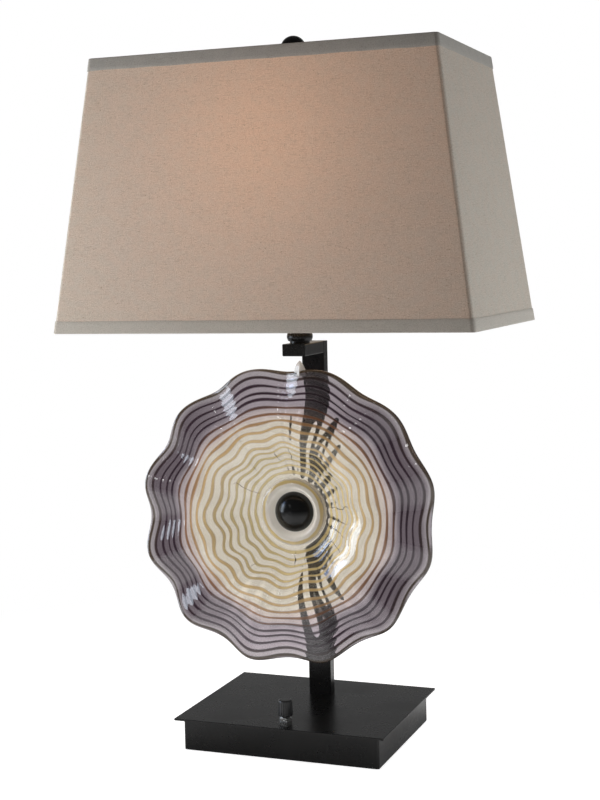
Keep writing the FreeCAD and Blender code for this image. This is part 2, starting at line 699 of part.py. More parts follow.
def make_harp():
    """Wire bow: two straight legs, a flare, a long bow and shoulders to a level top."""
    right, end = harp_side()
    left = [e.mirror(Vector(0, 0, 0), Vector(1, 0, 0)) for e in reversed(right)]
    bridge = Part.makeLine(end, Vector(-end.x, 0, end.z))
    path = Part.Wire(right + [bridge] + left)
    start = Vector(SADDLE_HALF_SPAN, 0, HARP_FOOT_Z)
    section = Part.Wire(Part.Circle(start, Vector(0, 0, 1), HARP_WIRE_RADIUS).toShape())
    return path.makePipeShell([section], True, False)


def make_harp_stud():
    """Block on the harp's top with a seat for the shade and the stud for the finial."""
    low = HARP_TOP_Z - HARP_WIRE_RADIUS - STUD_BLOCK_UNDER_WIRE
    shape = rod(STUD_BLOCK_RADIUS, low, STUD_BLOCK_TOP_Z)
    shape = shape.fuse(rod(STUD_SEAT_RADIUS, STUD_BLOCK_TOP_Z, STUD_SEAT_Z))
    shape = shape.fuse(rod(STUD_RADIUS, STUD_SEAT_Z, STUD_TOP_Z)).removeSplitter()
    wire = Part.makeCylinder(HARP_WIRE_RADIUS + THREAD_GAP, 2 * STUD_BLOCK_RADIUS,
                             Vector(-STUD_BLOCK_RADIUS, 0, HARP_TOP_Z), Vector(1, 0, 0))
    return shape.cut(wire)


def make_sleeve(side):
    """Sleeve that locks a harp leg to its pin, with a small lip at its foot."""
    low = SADDLE_TOP_Z + SLIDE_GAP
    high = low + SLEEVE_LENGTH
    bore = HARP_WIRE_RADIUS + RUNNING_GAP
    shape = turned([(bore, low), (SLEEVE_RADIUS + SLEEVE_LIP, low),
                    (SLEEVE_RADIUS + SLEEVE_LIP, low + 1.0), (SLEEVE_RADIUS, low + 1.6),
                    (SLEEVE_RADIUS, high - 0.6), (SLEEVE_RADIUS - 0.6, high), (bore, high)])
    shape.translate(Vector(side * SADDLE_HALF_SPAN, 0, 0))
    return shape


# Socket and bulb


def make_socket_cap():
    """Domed cup that holds the socket's shell and screws on the nipple."""
    low, high = SADDLE_TOP_Z, SOCKET_MOUTH_Z
    wall = SOCKET_CAP_WALL
    outer = SOCKET_SHELL_RADIUS + SOCKET_FIT + wall
    inner = outer - wall
    bore = NIPPLE_RADIUS + THREAD_GAP
    shoulder = high - 5.5
    return turned([(bore, low), (SOCKET_CAP_FOOT_RADIUS, low),
                   ((outer - 2.4, low + 3.6), (outer, shoulder)), (outer, high), (inner, high),
                   (inner, shoulder), ((inner - 2.4, low + 4.4), (SOCKET_CAP_FOOT_RADIUS, low + 2.2)),
                   (bore, low + 2.2)])


def make_socket_shell():
    """Outer tube of the socket with a rolled bead at its mouth."""
    low, high = SHELL_BOTTOM_Z, SHELL_TOP_Z
    outer, inner = SOCKET_SHELL_RADIUS, SOCKET_SHELL_RADIUS - SOCKET_SHELL_WALL
    bead = outer + SOCKET_BEAD
    return turned([(inner, low), (outer, low), (outer, SOCKET_MOUTH_Z + 1.0),
                   (bead, SOCKET_MOUTH_Z + 2.2), (bead, SOCKET_MOUTH_Z + 3.4),
                   (outer, SOCKET_MOUTH_Z + 4.6), (outer, high - 3.0), (bead, high - 1.5),
                   (outer, high), (inner, high)])


def make_socket_liner():
    """Insulating tube inside the shell."""
    outer = SOCKET_SHELL_RADIUS - SOCKET_SHELL_WALL - SOCKET_FIT
    low, high = SHELL_BOTTOM_Z, SHELL_TOP_Z - 1.0
    return rod(outer, low, high).cut(rod(outer - LINER_THICK, low, high))


def make_socket_body():
    """Moulded block under the screw shell."""
    radius = SOCKET_SHELL_RADIUS - SOCKET_SHELL_WALL - 2 * SOCKET_FIT - LINER_THICK
    low, high = SHELL_BOTTOM_Z, SOCKET_BODY_TOP_Z
    shape = turned([(0, low), (radius - 1.5, low), (radius, low + 1.5), (radius, high - 1.5),
                    (radius - 1.5, high), (0, high)])
    for x in (-8.0, 8.0):
        shape = shape.cut(rod(1.6, low, low + 7, x))
    return shape


def ridged_outline(radius, ridge, low, high, count):
    """Points of a screw-shell wall: round ridges shown by their crests and roots."""
    pitch = (high - low) / count
    points = [(radius - ridge, low)]
    for k in range(count):
        z = low + k * pitch
        points.append(((radius, z + pitch / 2), (radius - ridge, z + pitch)))
    return points


def make_screw_shell():
    """Thin screw shell of the socket, with rolled ridges outside and a plain bore."""
    low, high = SOCKET_BODY_TOP_Z, SOCKET_BODY_TOP_Z + SCREW_SHELL_HEIGHT
    inner = SCREW_SHELL_RADIUS - SCREW_RIDGE - SCREW_SHELL_WALL
    steps = ridged_outline(SCREW_SHELL_RADIUS, SCREW_RIDGE, low, high, SCREW_RIDGE_COUNT)
    return turned([(inner, low)] + steps + [(inner, high)])


def make_socket_contact():
    """Sprung centre contact: a tongue that rises to touch the bulb's tip."""
    thick = 0.6
    width = 5.0
    half = 6.0
    points = [(-half, 0), (-half + 4, 0), (1.5, CONTACT_HEIGHT - thick), (4, CONTACT_HEIGHT - thick),
              (4, CONTACT_HEIGHT), (1.2, CONTACT_HEIGHT), (-half + 3.8, thick), (-half, thick),
              (-half, 0)]
    outline = Part.makePolygon([Vector(x, -width / 2, SOCKET_BODY_TOP_Z + z) for x, z in points])
    return Part.Face(outline).extrude(Vector(0, width, 0))


def bulb_thread_radius():
    """Crest radius of the bulb's thread, clear of the socket's screw shell."""
    return SCREW_SHELL_RADIUS - SCREW_RIDGE - SCREW_SHELL_WALL - BULB_THREAD_GAP


def make_bulb_base():
    """Screw base of the bulb."""
    radius = bulb_thread_radius()
    steps = ridged_outline(radius, 0.5, BULB_BASE_Z, BULB_GLASS_Z - 3.0, SCREW_RIDGE_COUNT)
    return turned([(0, BULB_BASE_Z)] + steps + [(radius - 0.5, BULB_GLASS_Z), (0, BULB_GLASS_Z)])


def make_bulb_tip():
    """Insulating cone and solder point under the bulb's base."""
    radius = bulb_thread_radius() - 1.0
    return turned([(0, BULB_TIP_Z), (2.6, BULB_TIP_Z), (3.4, BULB_TIP_Z + 1.0),
                   (4.6, BULB_TIP_Z + 1.0), (radius, BULB_BASE_Z), (0, BULB_BASE_Z)])


def bulb_outline(inset):
    """Half outline of the pear-shaped envelope: a neck, a swell and a round crown."""
    low, high = BULB_GLASS_Z, BULB_GLASS_Z + BULB_GLASS_HEIGHT
    foot = bulb_thread_radius() - 0.5 - inset
    wide = high - BULB_RADIUS
    neck = low + BULB_NECK_HEIGHT
    swell = BULB_NECK_RADIUS + 0.62 * (BULB_RADIUS - BULB_NECK_RADIUS) - inset
    radius = BULB_RADIUS - inset
    crown = radius * math.sin(math.radians(45))
    return [(0, low), (foot, low), (BULB_NECK_RADIUS - inset, neck),
            ((swell, (neck + wide) / 2), (radius, wide)), ((crown, wide + crown), (0, wide + radius))]


def make_bulb_glass():
    """Thin hollow envelope, open at its neck where the base closes it."""
    return turned(bulb_outline(0.0)).cut(turned(bulb_outline(BULB_WALL)))


# Glass disc and what holds it


def smooth_step(value, low, high):
    """0 below low, 1 above high and a smooth rise between them."""
    share = min(max((value - low) / (high - low), 0.0), 1.0)
    return share * share * (3 - 2 * share)


def bowl_shift(radius):
    """How far the bowl comes forward at a radius: up to its crest, then back a little to the rim."""
    rise = BOWL_RISE * smooth_step(radius, COLLAR_FOOT_RADIUS, BOWL_CREST_RADIUS)
    return rise - RIM_FALL * smooth_step(radius, BOWL_CREST_RADIUS, DISC_RADIUS)


def disc_front(radius):
    """Depth of the front face: the cap's seat, the raised collar round it and the bowl."""
    collar = COLLAR_RISE * smooth_step(radius, DISC_SEAT_RADIUS, COLLAR_RADIUS)
    collar -= COLLAR_DIP * smooth_step(radius, COLLAR_RADIUS, COLLAR_FOOT_RADIUS)
    return DISC_SEAT_Y - collar - bowl_shift(radius)


def disc_back(radius):
    """Depth of the back face: the wall goes from the hub's thickness to the rim's."""
    foot = DISC_SEAT_Y - COLLAR_RISE + COLLAR_DIP + BOWL_THICK
    hub_to_foot = (DISC_BACK_Y - foot) * smooth_step(radius, DISC_SEAT_RADIUS, COLLAR_FOOT_RADIUS)
    thin = (BOWL_THICK - RIM_THICK) * smooth_step(radius, COLLAR_FOOT_RADIUS, DISC_RADIUS)
    return DISC_BACK_Y - hub_to_foot - bowl_shift(radius) - thin


def disc_point(angle, radius, depth, swell=0.0):
    """A point of the disc at an angle: flutes, oval, lean and turn all grow towards the rim."""
    wave = smooth_step(radius, FLUTE_START_RADIUS, DISC_RADIUS)
    grow = smooth_step(radius, COLLAR_FOOT_RADIUS, BOWL_CREST_RADIUS)
    phase = FLUTES * (angle - math.radians(FLUTE_PHASE_ANGLE))
    reach = radius + swell + FLUTE_LOBE * wave * math.cos(phase)
    x = reach * (1 + (DISC_OVAL_RATIO - 1) * grow) * math.cos(angle)
    z = reach * math.sin(angle)
    y = depth + FLUTE_DEPTH * wave * math.cos(phase + math.radians(FLUTE_LAG_ANGLE))
    y += grow * (RIM_TURN * x + RIM_LEAN * z) / DISC_RADIUS
    return Vector(x, y, DISC_Z + z)


def disc_ring(radius, depth, swell=0.0):
    """One closed ring of the disc."""
    count = FLUTES * POINTS_PER_FLUTE
    points = [disc_point(2 * math.pi * k / count, radius, depth, swell) for k in range(count)]
    curve = Part.BSplineCurve()
    curve.interpolate(Points=points, PeriodicFlag=True)
    return Part.Wire(curve.toShape())


def make_fin():
    """Small pointed tip of glass that stands on the rim at the top."""
    angle = math.radians(FIN_ANGLE)
    depth = (disc_front(DISC_RADIUS) + disc_back(DISC_RADIUS)) / 2
    root = disc_point(angle, DISC_RADIUS, depth)
    half, thick = FIN_WIDTH / 2, FIN_THICK
    low, high = -FIN_ROOT, FIN_HEIGHT

    def at(x, z):
        return Vector(root.x + x, root.y - thick / 2, root.z + z)

    right = Part.Arc(at(half, low), at(0.62 * half, 0.45 * high), at(0, high)).toShape()
    left = Part.Arc(at(0, high), at(-0.62 * half, 0.45 * high), at(-half, low)).toShape()
    foot = Part.makeLine(at(-half, low), at(half, low))
    return Part.Face(Part.Wire([right, left, foot])).extrude(Vector(0, thick, 0))


def make_glass_disc():
    """Ruffled disc: smooth lofts through rings for both faces, a round lip and a plain bore."""
    stops = [DISC_SEAT_RADIUS, COLLAR_RADIUS, COLLAR_FOOT_RADIUS, BOWL_CREST_RADIUS, DISC_RADIUS]
    steps = [3, 2, 4, 4]
    radii = [stops[0]]
    for inner, outer, count in zip(stops, stops[1:], steps):
        radii += [inner + k * (outer - inner) / count for k in range(1, count + 1)]
    front = [disc_ring(r, disc_front(r)) for r in radii]
    back = [disc_ring(r, disc_back(r)) for r in radii]
    lip = disc_ring(DISC_RADIUS, (disc_front(DISC_RADIUS) + disc_back(DISC_RADIUS)) / 2,
                    RIM_ROUNDING)
    faces = Part.makeLoft(front, False, False).Faces
    faces += Part.makeLoft(back, False, False).Faces
    faces += Part.makeLoft([front[-1], lip, back[-1]], False, False).Faces
    bore = []
    for ring, y in ((front[0], DISC_SEAT_Y), (back[0], DISC_BACK_Y)):
        edge = Part.Circle(Vector(0, y, DISC_Z), Vector(0, 1, 0), DISC_BORE).toShape()
        bore.append(edge)
        faces.append(Part.makeFace([ring, Part.Wire(edge)], "Part::FaceMakerBullseye"))
    faces.append(Part.makeRuledSurface(bore[0], bore[1]))
    shell = Part.makeCompound(faces)
    shell.sewShape()
    solid = Part.Solid(shell.Shells[0] if shell.Shells else Part.Shell(faces))
    if solid.Volume < 0:
        solid.reverse()
    return solid.fuse(make_fin())


def washer(radius, bore, y_low, y_high):
    """A flat ring on the disc's axis between two depths."""
    return cross_rod(radius, y_low, y_high, 0, DISC_Z).cut(cross_rod(bore, y_low, y_high, 0, DISC_Z))


def make_front_washer():
    """Rubber ring between the cap and the glass."""
    return washer(RUBBER_RADIUS, ROD_RADIUS + ROD_GAP, DISC_SEAT_Y - RUBBER_THICK, DISC_SEAT_Y)


def make_rear_washer():
    """Rubber ring between the glass and the standoff."""
    return washer(RUBBER_RADIUS, ROD_RADIUS + ROD_GAP, DISC_BACK_Y, DISC_BACK_Y + RUBBER_THICK)


def make_standoff():
    """Flanged bush that holds the glass away from the post."""
    low = DISC_BACK_Y + RUBBER_THICK
    flange = low + STANDOFF_FLANGE_THICK
    cove = 5.0
    high = POST_FRONT_Y
    bore = ROD_RADIUS + ROD_GAP
    profile = [(bore, low), (STANDOFF_FLANGE_RADIUS, low), (STANDOFF_FLANGE_RADIUS, flange),
               (STANDOFF_RADIUS + cove, flange),
               ((STANDOFF_RADIUS + 0.3 * cove, flange + 0.3 * cove),
                (STANDOFF_RADIUS, flange + cove)),
               (STANDOFF_RADIUS, high), (bore, high)]
    return laid_to_back(turned(profile), 0, DISC_Z)


def make_disc_cap():
    """Domed cap: a boss that presses the front washer, a shadow line and an oblate dome."""
    back = DISC_SEAT_Y - RUBBER_THICK
    edge = back - CAP_BOSS_HEIGHT
    profile = [(0, back), (CAP_BOSS_RADIUS, back), (CAP_BOSS_RADIUS, edge), (CAP_RADIUS, edge)]
    profile += dome(CAP_RADIUS, edge, -CAP_DOME_HEIGHT, CAP_SHOULDER)
    shape = laid_to_back(turned(profile), 0, DISC_Z)
    bore = cross_rod(ROD_RADIUS + THREAD_GAP, back - CAP_BORE_DEPTH, back, 0, DISC_Z)
    return shape.cut(bore)


def make_rod():
    """Threaded rod from the cap through the glass, the standoff and the post to the nut."""
    front = DISC_SEAT_Y - RUBBER_THICK - CAP_BORE_DEPTH + 0.5
    back = POST_BACK_Y + ROD_WASHER_THICK + ROD_NUT_HEIGHT
    return cross_rod(ROD_RADIUS, front, back, 0, DISC_Z)


def make_rod_washer():
    """Steel washer on the post's back face."""
    return washer(ROD_WASHER_RADIUS, ROD_RADIUS + ROD_GAP, POST_BACK_Y,
                  POST_BACK_Y + ROD_WASHER_THICK)


def make_rod_nut():
    """Domed nut on the rod's rear end."""
    edge = ROD_NUT_FLATS / 2
    shape = hexagon(ROD_NUT_FLATS, 0, ROD_NUT_HEIGHT)
    profile = [(0, ROD_NUT_HEIGHT), (edge, ROD_NUT_HEIGHT)]
    profile += dome(edge, ROD_NUT_HEIGHT, ROD_NUT_DOME, ROD_NUT_SHOULDER)
    shape = shape.fuse(turned(profile))
    shape = shape.cut(rod(ROD_RADIUS + THREAD_GAP, 0, ROD_NUT_HEIGHT + 0.3))
    return laid_to_back(shape, POST_BACK_Y + ROD_WASHER_THICK, DISC_Z)


# Shade and finial


def shade_size(z):
    """Outer width and depth of the shade at level z."""
    share = (z - SHADE_BOTTOM_Z) / SHADE_HEIGHT
    width = SHADE_BOTTOM_WIDTH + share * (SHADE_TOP_WIDTH - SHADE_BOTTOM_WIDTH)
    depth = SHADE_BOTTOM_DEPTH + share * (SHADE_TOP_DEPTH - SHADE_BOTTOM_DEPTH)
    return width, depth


def shade_core(offset, low, high):
    """The tapered block inside the shade's outer face, moved out by offset, between two levels."""
    outlines = []
    for z in (low, high):
        width, depth = shade_size(z)
        outlines.append(rounded_outline(width + 2 * offset, depth + 2 * offset,
                                        SHADE_CORNER + offset, z))
    return Part.makeLoft(outlines, True, True)


def shade_wall(outer, inner, low, high):
    """A band of the shade's wall between two offsets and two levels."""
    return shade_core(outer, low, high).cut(shade_core(inner, low, high))


def panel_outline(length, distance, z):
    """Outline of a panel at a level, in its own directions: length along it, distance outward.

    It runs from the middle of one round corner to the middle of the next.
    """
    radius, inner = SHADE_CORNER, SHADE_CORNER - PANEL_THICK
    end, centre = length / 2 - radius, distance / 2 - radius

    def at(side, size, degrees):
        angle = math.radians(degrees)
        return Vector(side * (end + size * math.cos(angle)), centre + size * math.sin(angle), z)

    edges = []
    for size in (radius, inner):
        edges.append(Part.Arc(at(-1, size, 45), at(-1, size, 67.5), at(-1, size, 90)).toShape())
        edges.append(Part.makeLine(at(-1, size, 90), at(1, size, 90)))
        edges.append(Part.Arc(at(1, size, 90), at(1, size, 67.5), at(1, size, 45)).toShape())
    for side in (-1, 1):
        edges.append(Part.makeLine(at(side, radius, 45), at(side, inner, 45)))
    return Part.Wire(Part.__sortEdges__(edges))


def make_panels():
    """Four panels, each lofted from its lower to its upper outline and turned to its side."""
    panels = {}
    for name, turn in (("back", 0), ("left", 90), ("front", 180), ("right", 270)):
        outlines = []
        for z in (SHADE_BOTTOM_Z, SHADE_TOP_Z):
            width, depth = shade_size(z)
            length, distance = (width, depth) if turn % 180 == 0 else (depth, width)
            outlines.append(panel_outline(length, distance, z))
        panel = Part.makeLoft(outlines, True, True)
        panel.rotate(Vector(0, 0, 0), Vector(0, 0, 1), turn)
        panels[name] = panel
    return panels


def frame_wire_offset():
    """How far the frame wire's centre lies inside the shade's outer face."""
    return -(PANEL_THICK + FRAME_WIRE_GAP + FRAME_WIRE_RADIUS)


def make_frame_wire(z):
    """Closed frame wire inside the wall at level z."""
    offset = frame_wire_offset()
    width, depth = shade_size(z)
    width, depth = width + 2 * offset, depth + 2 * offset
    path = rounded_outline(width, depth, SHADE_CORNER + offset, z)
    start = path.Vertexes[0].Point
    tangent = path.Edges[0].tangentAt(path.Edges[0].FirstParameter)
    section = Part.Wire(Part.Circle(start, tangent, FRAME_WIRE_RADIUS).toShape())
    return path.makePipeShell([section], True, False)


def make_trim(upper):
    """Folded tape over an edge: an outer leg, a web over the edge and a short inner leg."""
    inner_face = frame_wire_offset() - FRAME_WIRE_RADIUS - FRAME_WIRE_GAP
    edge = SHADE_TOP_Z if upper else SHADE_BOTTOM_Z
    sign = -1 if upper else 1
    far = edge - sign * TRIM_THICK

    def band(outer, inner, level):
        return shade_wall(outer, inner, min(level, edge), max(level, edge))

    shape = band(TRIM_THICK, 0.0, edge + sign * TRIM_HEIGHT)
    shape = shape.fuse(band(inner_face, inner_face - TRIM_THICK, edge + sign * TRIM_INNER_HEIGHT))
    shape = shape.fuse(band(TRIM_THICK, inner_face - TRIM_THICK, far))
    return shape.removeSplitter()


def make_hub():
    """Hub washer of the shade on the harp stud's seat."""
    return rod(HUB_RADIUS, HUB_Z, HUB_TOP_Z).cut(rod(HUB_BORE, HUB_Z, HUB_TOP_Z))


def spider_rods(radius):
    """Four plain rods from the recessed hub up to the middles of the top frame wire."""
    width, depth = shade_size(SHADE_TOP_Z)
    inset = -frame_wire_offset()
    start_z = (HUB_Z + HUB_TOP_Z) / 2
    end_z = frame_wire_z(True)
    rods = []
    for x, y in ((1, 0), (0, 1), (-1, 0), (0, -1)):
        reach = (width / 2 - inset) if x else (depth / 2 - inset)
        start = Vector(x * (HUB_RADIUS - 1), y * (HUB_RADIUS - 1), start_z)
        run = Vector(x * reach, y * reach, end_z) - start
        rods.append(Part.makeCylinder(radius, run.Length, start, run))
    return rods


def make_spider_arms(hub, frame_wire):
    """Spider arms, trimmed where they meet the hub and the frame wire."""
    arms = [arm.cut(hub).cut(frame_wire).Solids[0] for arm in spider_rods(SPIDER_WIRE_RADIUS)]
    return Part.makeCompound(arms)


def make_top_trim():
    """Tape of the top edge; its inner leg is pierced where the spider arms pass."""
    return make_trim(True).cut(spider_rods(SPIDER_WIRE_RADIUS + TRIM_SLIT_GAP))


def frame_wire_z(upper):
    """Level of a frame wire, just inside the edge of the panels."""
    inset = FRAME_WIRE_RADIUS + FRAME_WIRE_GAP
    return SHADE_TOP_Z - inset if upper else SHADE_BOTTOM_Z + inset


def make_finial():
    """Ball on a coved neck and a round foot, with a blind bore for the stud."""
    ball_z = FINIAL_TOP_Z - FINIAL_BALL_RADIUS
    foot = FINIAL_Z + FINIAL_FOOT_HEIGHT
    angle = math.asin(FINIAL_NECK_RADIUS / FINIAL_BALL_RADIUS)
    neck = ball_z - FINIAL_BALL_RADIUS * math.cos(angle)
    cove = FINIAL_NECK_RADIUS + 0.25 * (FINIAL_FOOT_RADIUS - FINIAL_NECK_RADIUS)
    profile = [(0, FINIAL_Z), (FINIAL_FOOT_RADIUS, FINIAL_Z),
               ((FINIAL_FOOT_RADIUS + 0.6, (FINIAL_Z + foot) / 2), (FINIAL_FOOT_RADIUS, foot)),
               ((cove, (foot + neck) / 2), (FINIAL_NECK_RADIUS, neck)),
               ((FINIAL_BALL_RADIUS, ball_z), (0, FINIAL_TOP_Z))]
    bore = rod(STUD_RADIUS + RUNNING_GAP, FINIAL_Z, STUD_TOP_Z + SLIDE_GAP)
    return turned(profile).cut(bore)


def main():
    """Build every piece and write it."""
    os.makedirs("parts", exist_ok=True)
    export(make_base_box(), "base_box")
    export(make_top_plate(), "top_plate")
    export(make_bottom_cover(), "bottom_cover")
    export(make_ballast(), "ballast_weight")
    export(make_rubber_feet(), "rubber_feet")
    export(make_cover_screws(), "cover_screws")
    export(make_ballast_screws(), "ballast_screws")
    export(make_cord_grommet(), "cord_grommet")
    export(make_switch_body(), "switch_body")
    export(make_switch_bush(), "switch_bush")
    export(make_switch_nut(), "switch_nut")
    export(make_switch_shaft(), "switch_shaft")
    export(make_switch_knob(), "switch_knob")
    export(make_post(), "post")
    export(make_post_cap(), "post_cap")
    export(make_foot_block(), "post_foot_block")
    export(make_post_screws(), "post_screws")
    export(make_arm(), "arm")
    export(make_arm_end_cap(), "arm_end_cap")
    export(make_weld_nut(), "arm_weld_nut")
    export(make_nipple(), "threaded_nipple")
    export(make_neck_washer(), "neck_washer")
    export(make_neck_ring(), "neck_ring")
    export(make_saddle(), "harp_saddle")
    export(make_harp(), "harp")
    export(make_harp_stud(), "harp_stud")
    export(make_sleeve(-1), "harp_sleeve_left")
    export(make_sleeve(1), "harp_sleeve_right")
    export(make_socket_cap(), "socket_cap")
    export(make_socket_shell(), "socket_shell")
    export(make_socket_liner(), "socket_liner")
    export(make_socket_body(), "socket_body")
    export(make_screw_shell(), "socket_screw_shell")
    export(make_socket_contact(), "socket_contact")
    export(make_bulb_base(), "bulb_base")
    export(make_bulb_tip(), "bulb_tip")
    export(make_bulb_glass(), "bulb_glass")
    export(make_glass_disc(), "glass_disc")
    export(make_front_washer(), "disc_front_washer")
    export(make_rear_washer(), "disc_rear_washer")
    export(make_standoff(), "disc_standoff")
    export(make_disc_cap(), "disc_cap")
    export(make_rod(), "disc_rod")
    export(make_rod_washer(), "disc_rod_washer")
    export(make_rod_nut(), "disc_rod_nut")
    for name, panel in make_panels().items():
        export(panel, "shade_panel_" + name)
    top_wire = make_frame_wire(frame_wire_z(True))
    export(top_wire, "shade_top_wire")
    export(make_frame_wire(frame_wire_z(False)), "shade_bottom_wire")
    export(make_top_trim(), "shade_top_trim")
    export(make_trim(False), "shade_bottom_trim")
    hub = make_hub()
    export(hub, "shade_hub")
    export(make_spider_arms(hub, top_wire), "spider_arms")
    export(make_finial(), "finial")


main()
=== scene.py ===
"""Looks of an art glass table lamp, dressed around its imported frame.

Metres, +Z up, in the frame's own coordinates: the origin is on the table at the middle of the
base, and the glass disc faces -Y.
"""
import logging
import math
from abc import ABC, abstractmethod
from dataclasses import dataclass, field, replace
from enum import Enum

import bmesh
import bpy
import numpy as np
from mathutils import Matrix, Vector


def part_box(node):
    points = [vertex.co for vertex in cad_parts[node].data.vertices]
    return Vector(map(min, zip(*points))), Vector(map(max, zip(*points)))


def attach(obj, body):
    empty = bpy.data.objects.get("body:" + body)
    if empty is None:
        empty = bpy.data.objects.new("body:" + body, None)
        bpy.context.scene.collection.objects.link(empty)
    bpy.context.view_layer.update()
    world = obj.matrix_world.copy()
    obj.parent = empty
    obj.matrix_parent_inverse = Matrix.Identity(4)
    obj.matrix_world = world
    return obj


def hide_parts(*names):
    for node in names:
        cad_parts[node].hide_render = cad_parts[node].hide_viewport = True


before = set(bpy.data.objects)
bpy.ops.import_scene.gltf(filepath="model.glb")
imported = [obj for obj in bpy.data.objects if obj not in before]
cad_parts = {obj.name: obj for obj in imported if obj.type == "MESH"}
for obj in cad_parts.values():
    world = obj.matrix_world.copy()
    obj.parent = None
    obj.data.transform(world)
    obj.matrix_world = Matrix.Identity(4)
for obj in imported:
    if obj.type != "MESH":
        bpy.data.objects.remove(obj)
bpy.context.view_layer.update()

MM = 0.001
FULL_TURN = 2 * math.pi
SEED = 7

Colour = tuple[float, float, float]
Range = tuple[float, float]
Triple = tuple[float, float, float]
Socket = bpy.types.NodeSocket

CLOUDY: Range = (0.35, 0.7)
GRAINY: Range = (0.3, 0.7)
WHITE: Colour = (1.0, 1.0, 1.0)
BLACK: Colour = (0.0, 0.0, 0.0)
GLASS_INDEX = 1.5

log = logging.getLogger("lamp")


class Slot(Enum):
    """The record's material slots, passed along with new pieces but not read by them."""

    ART_GLASS = "art_glass"
    SHADE_LINEN = "shade_linen"
    SHADE_TAPE = "shade_tape"


class Side(Enum):
    """The shade's four sides, each by the turn about Z that brings the back side to it."""

    LEFT = 90
    BACK = 0
    RIGHT = 270
    FRONT = 180


class Rim(Enum):
    """The shade's two edges, by the direction in which the wall leaves them."""

    BOTTOM = 1
    TOP = -1


def smooth_step(value: np.ndarray, low: float, high: float) -> np.ndarray:
    """Give a smooth rise from 0 to 1.

    Args:
        value: where to read the rise.
        low: where it begins.
        high: where it ends.

    Returns:
        0 below low, 1 above high and a smooth rise between them.
    """
    share = np.clip((value - low) / (high - low), 0.0, 1.0)
    return share * share * (3 - 2 * share)


def hump(value: np.ndarray, low: float, peak: float, high: float) -> np.ndarray:
    """Give a smooth hump that is 0 at low and high and 1 at peak."""
    return smooth_step(value, low, peak) * (1 - smooth_step(value, peak, high))


def paler(colour: Colour, share: float) -> Colour:
    """Give a share of a colour."""
    return tuple(share * c for c in colour)


class NodeNet:
    """Adds and joins the nodes of one node tree."""

    def __init__(self, tree: bpy.types.NodeTree) -> None:
        """Keep the tree that the nodes are added to."""
        self.tree = tree

    def node(self, kind: str, **settings: object) -> bpy.types.Node:
        """Add a node and set its options.

        Args:
            kind: the node's type without the leading "ShaderNode".
            **settings: properties of the node.

        Returns:
            The new node.
        """
        made = self.tree.nodes.new("ShaderNode" + kind)
        for name, value in settings.items():
            setattr(made, name, value)
        return made

    def feed(self, socket: Socket, value: object) -> None:
        """Link a socket to another socket, or give it a plain value.

        Args:
            socket: the socket that takes the value.
            value: a socket, or a plain value of the socket's kind.
        """
        if isinstance(value, bpy.types.NodeSocket):
            self.tree.links.new(value, socket)
        else:
            socket.default_value = value

    def math(self, operation: str, first: object, second: object = 0.0, third: object = 0.0) -> Socket:
        """Do arithmetic.

        Args:
            operation: what is done, in the Math node's own word.
            first: the first value or its socket.
            second: the second value or its socket.
            third: the third value or its socket.

        Returns:
            The result's socket.
        """
        made = self.node("Math", operation=operation)
        for socket, value in zip(made.inputs, (first, second, third)):
            self.feed(socket, value)
        return made.outputs[0]

    def product(self, *values: object) -> Socket:
        """Multiply values, from the first to the last.

        Args:
            *values: two or more values or sockets.

        Returns:
            The product's socket.
        """
        result = values[0]
        for value in values[1:]:
            result = self.math("MULTIPLY", result, value)
        return result

    def spread(self, value: Socket, low: float, high: float, to_low: float = 0.0,
               to_high: float = 1.0) -> Socket:
        """Map a value smoothly from one range to another.

        Args:
            value: the value to read.
            low: the range's start.
            high: the range's end.
            to_low: what the start becomes.
            to_high: what the end becomes.

        Returns:
            The mapped value, held between to_low and to_high.
        """
        made = self.node("MapRange", interpolation_type="SMOOTHSTEP")
        for name, number in (("From Min", low), ("From Max", high), ("To Min", to_low),
                             ("To Max", to_high)):
            made.inputs[name].default_value = number
        self.feed(made.inputs["Value"], value)
        return made.outputs[0]

    def mix(self, share: object, first: object, second: object) -> Socket:
        """Mix two colours.

        Args:
            share: how much there is of the second.
            first: the first colour or its socket.
            second: the second colour or its socket.

        Returns:
            The mixed colour's socket.
        """
        made = self.node("Mix", data_type="RGBA")
        self.feed(made.inputs[0], share)
        for socket, value in zip((made.inputs[6], made.inputs[7]), (first, second)):
            self.feed(socket, (*value, 1.0) if isinstance(value, tuple) else value)
        return made.outputs[2]

    def split(self, vector: Socket) -> tuple[Socket, Socket, Socket]:
        """Split a vector.

        Args:
            vector: the vector's socket.

        Returns:
            The sockets of its three parts.
        """
        made = self.node("SeparateXYZ")
        self.feed(made.inputs[0], vector)
        return made.outputs[0], made.outputs[1], made.outputs[2]


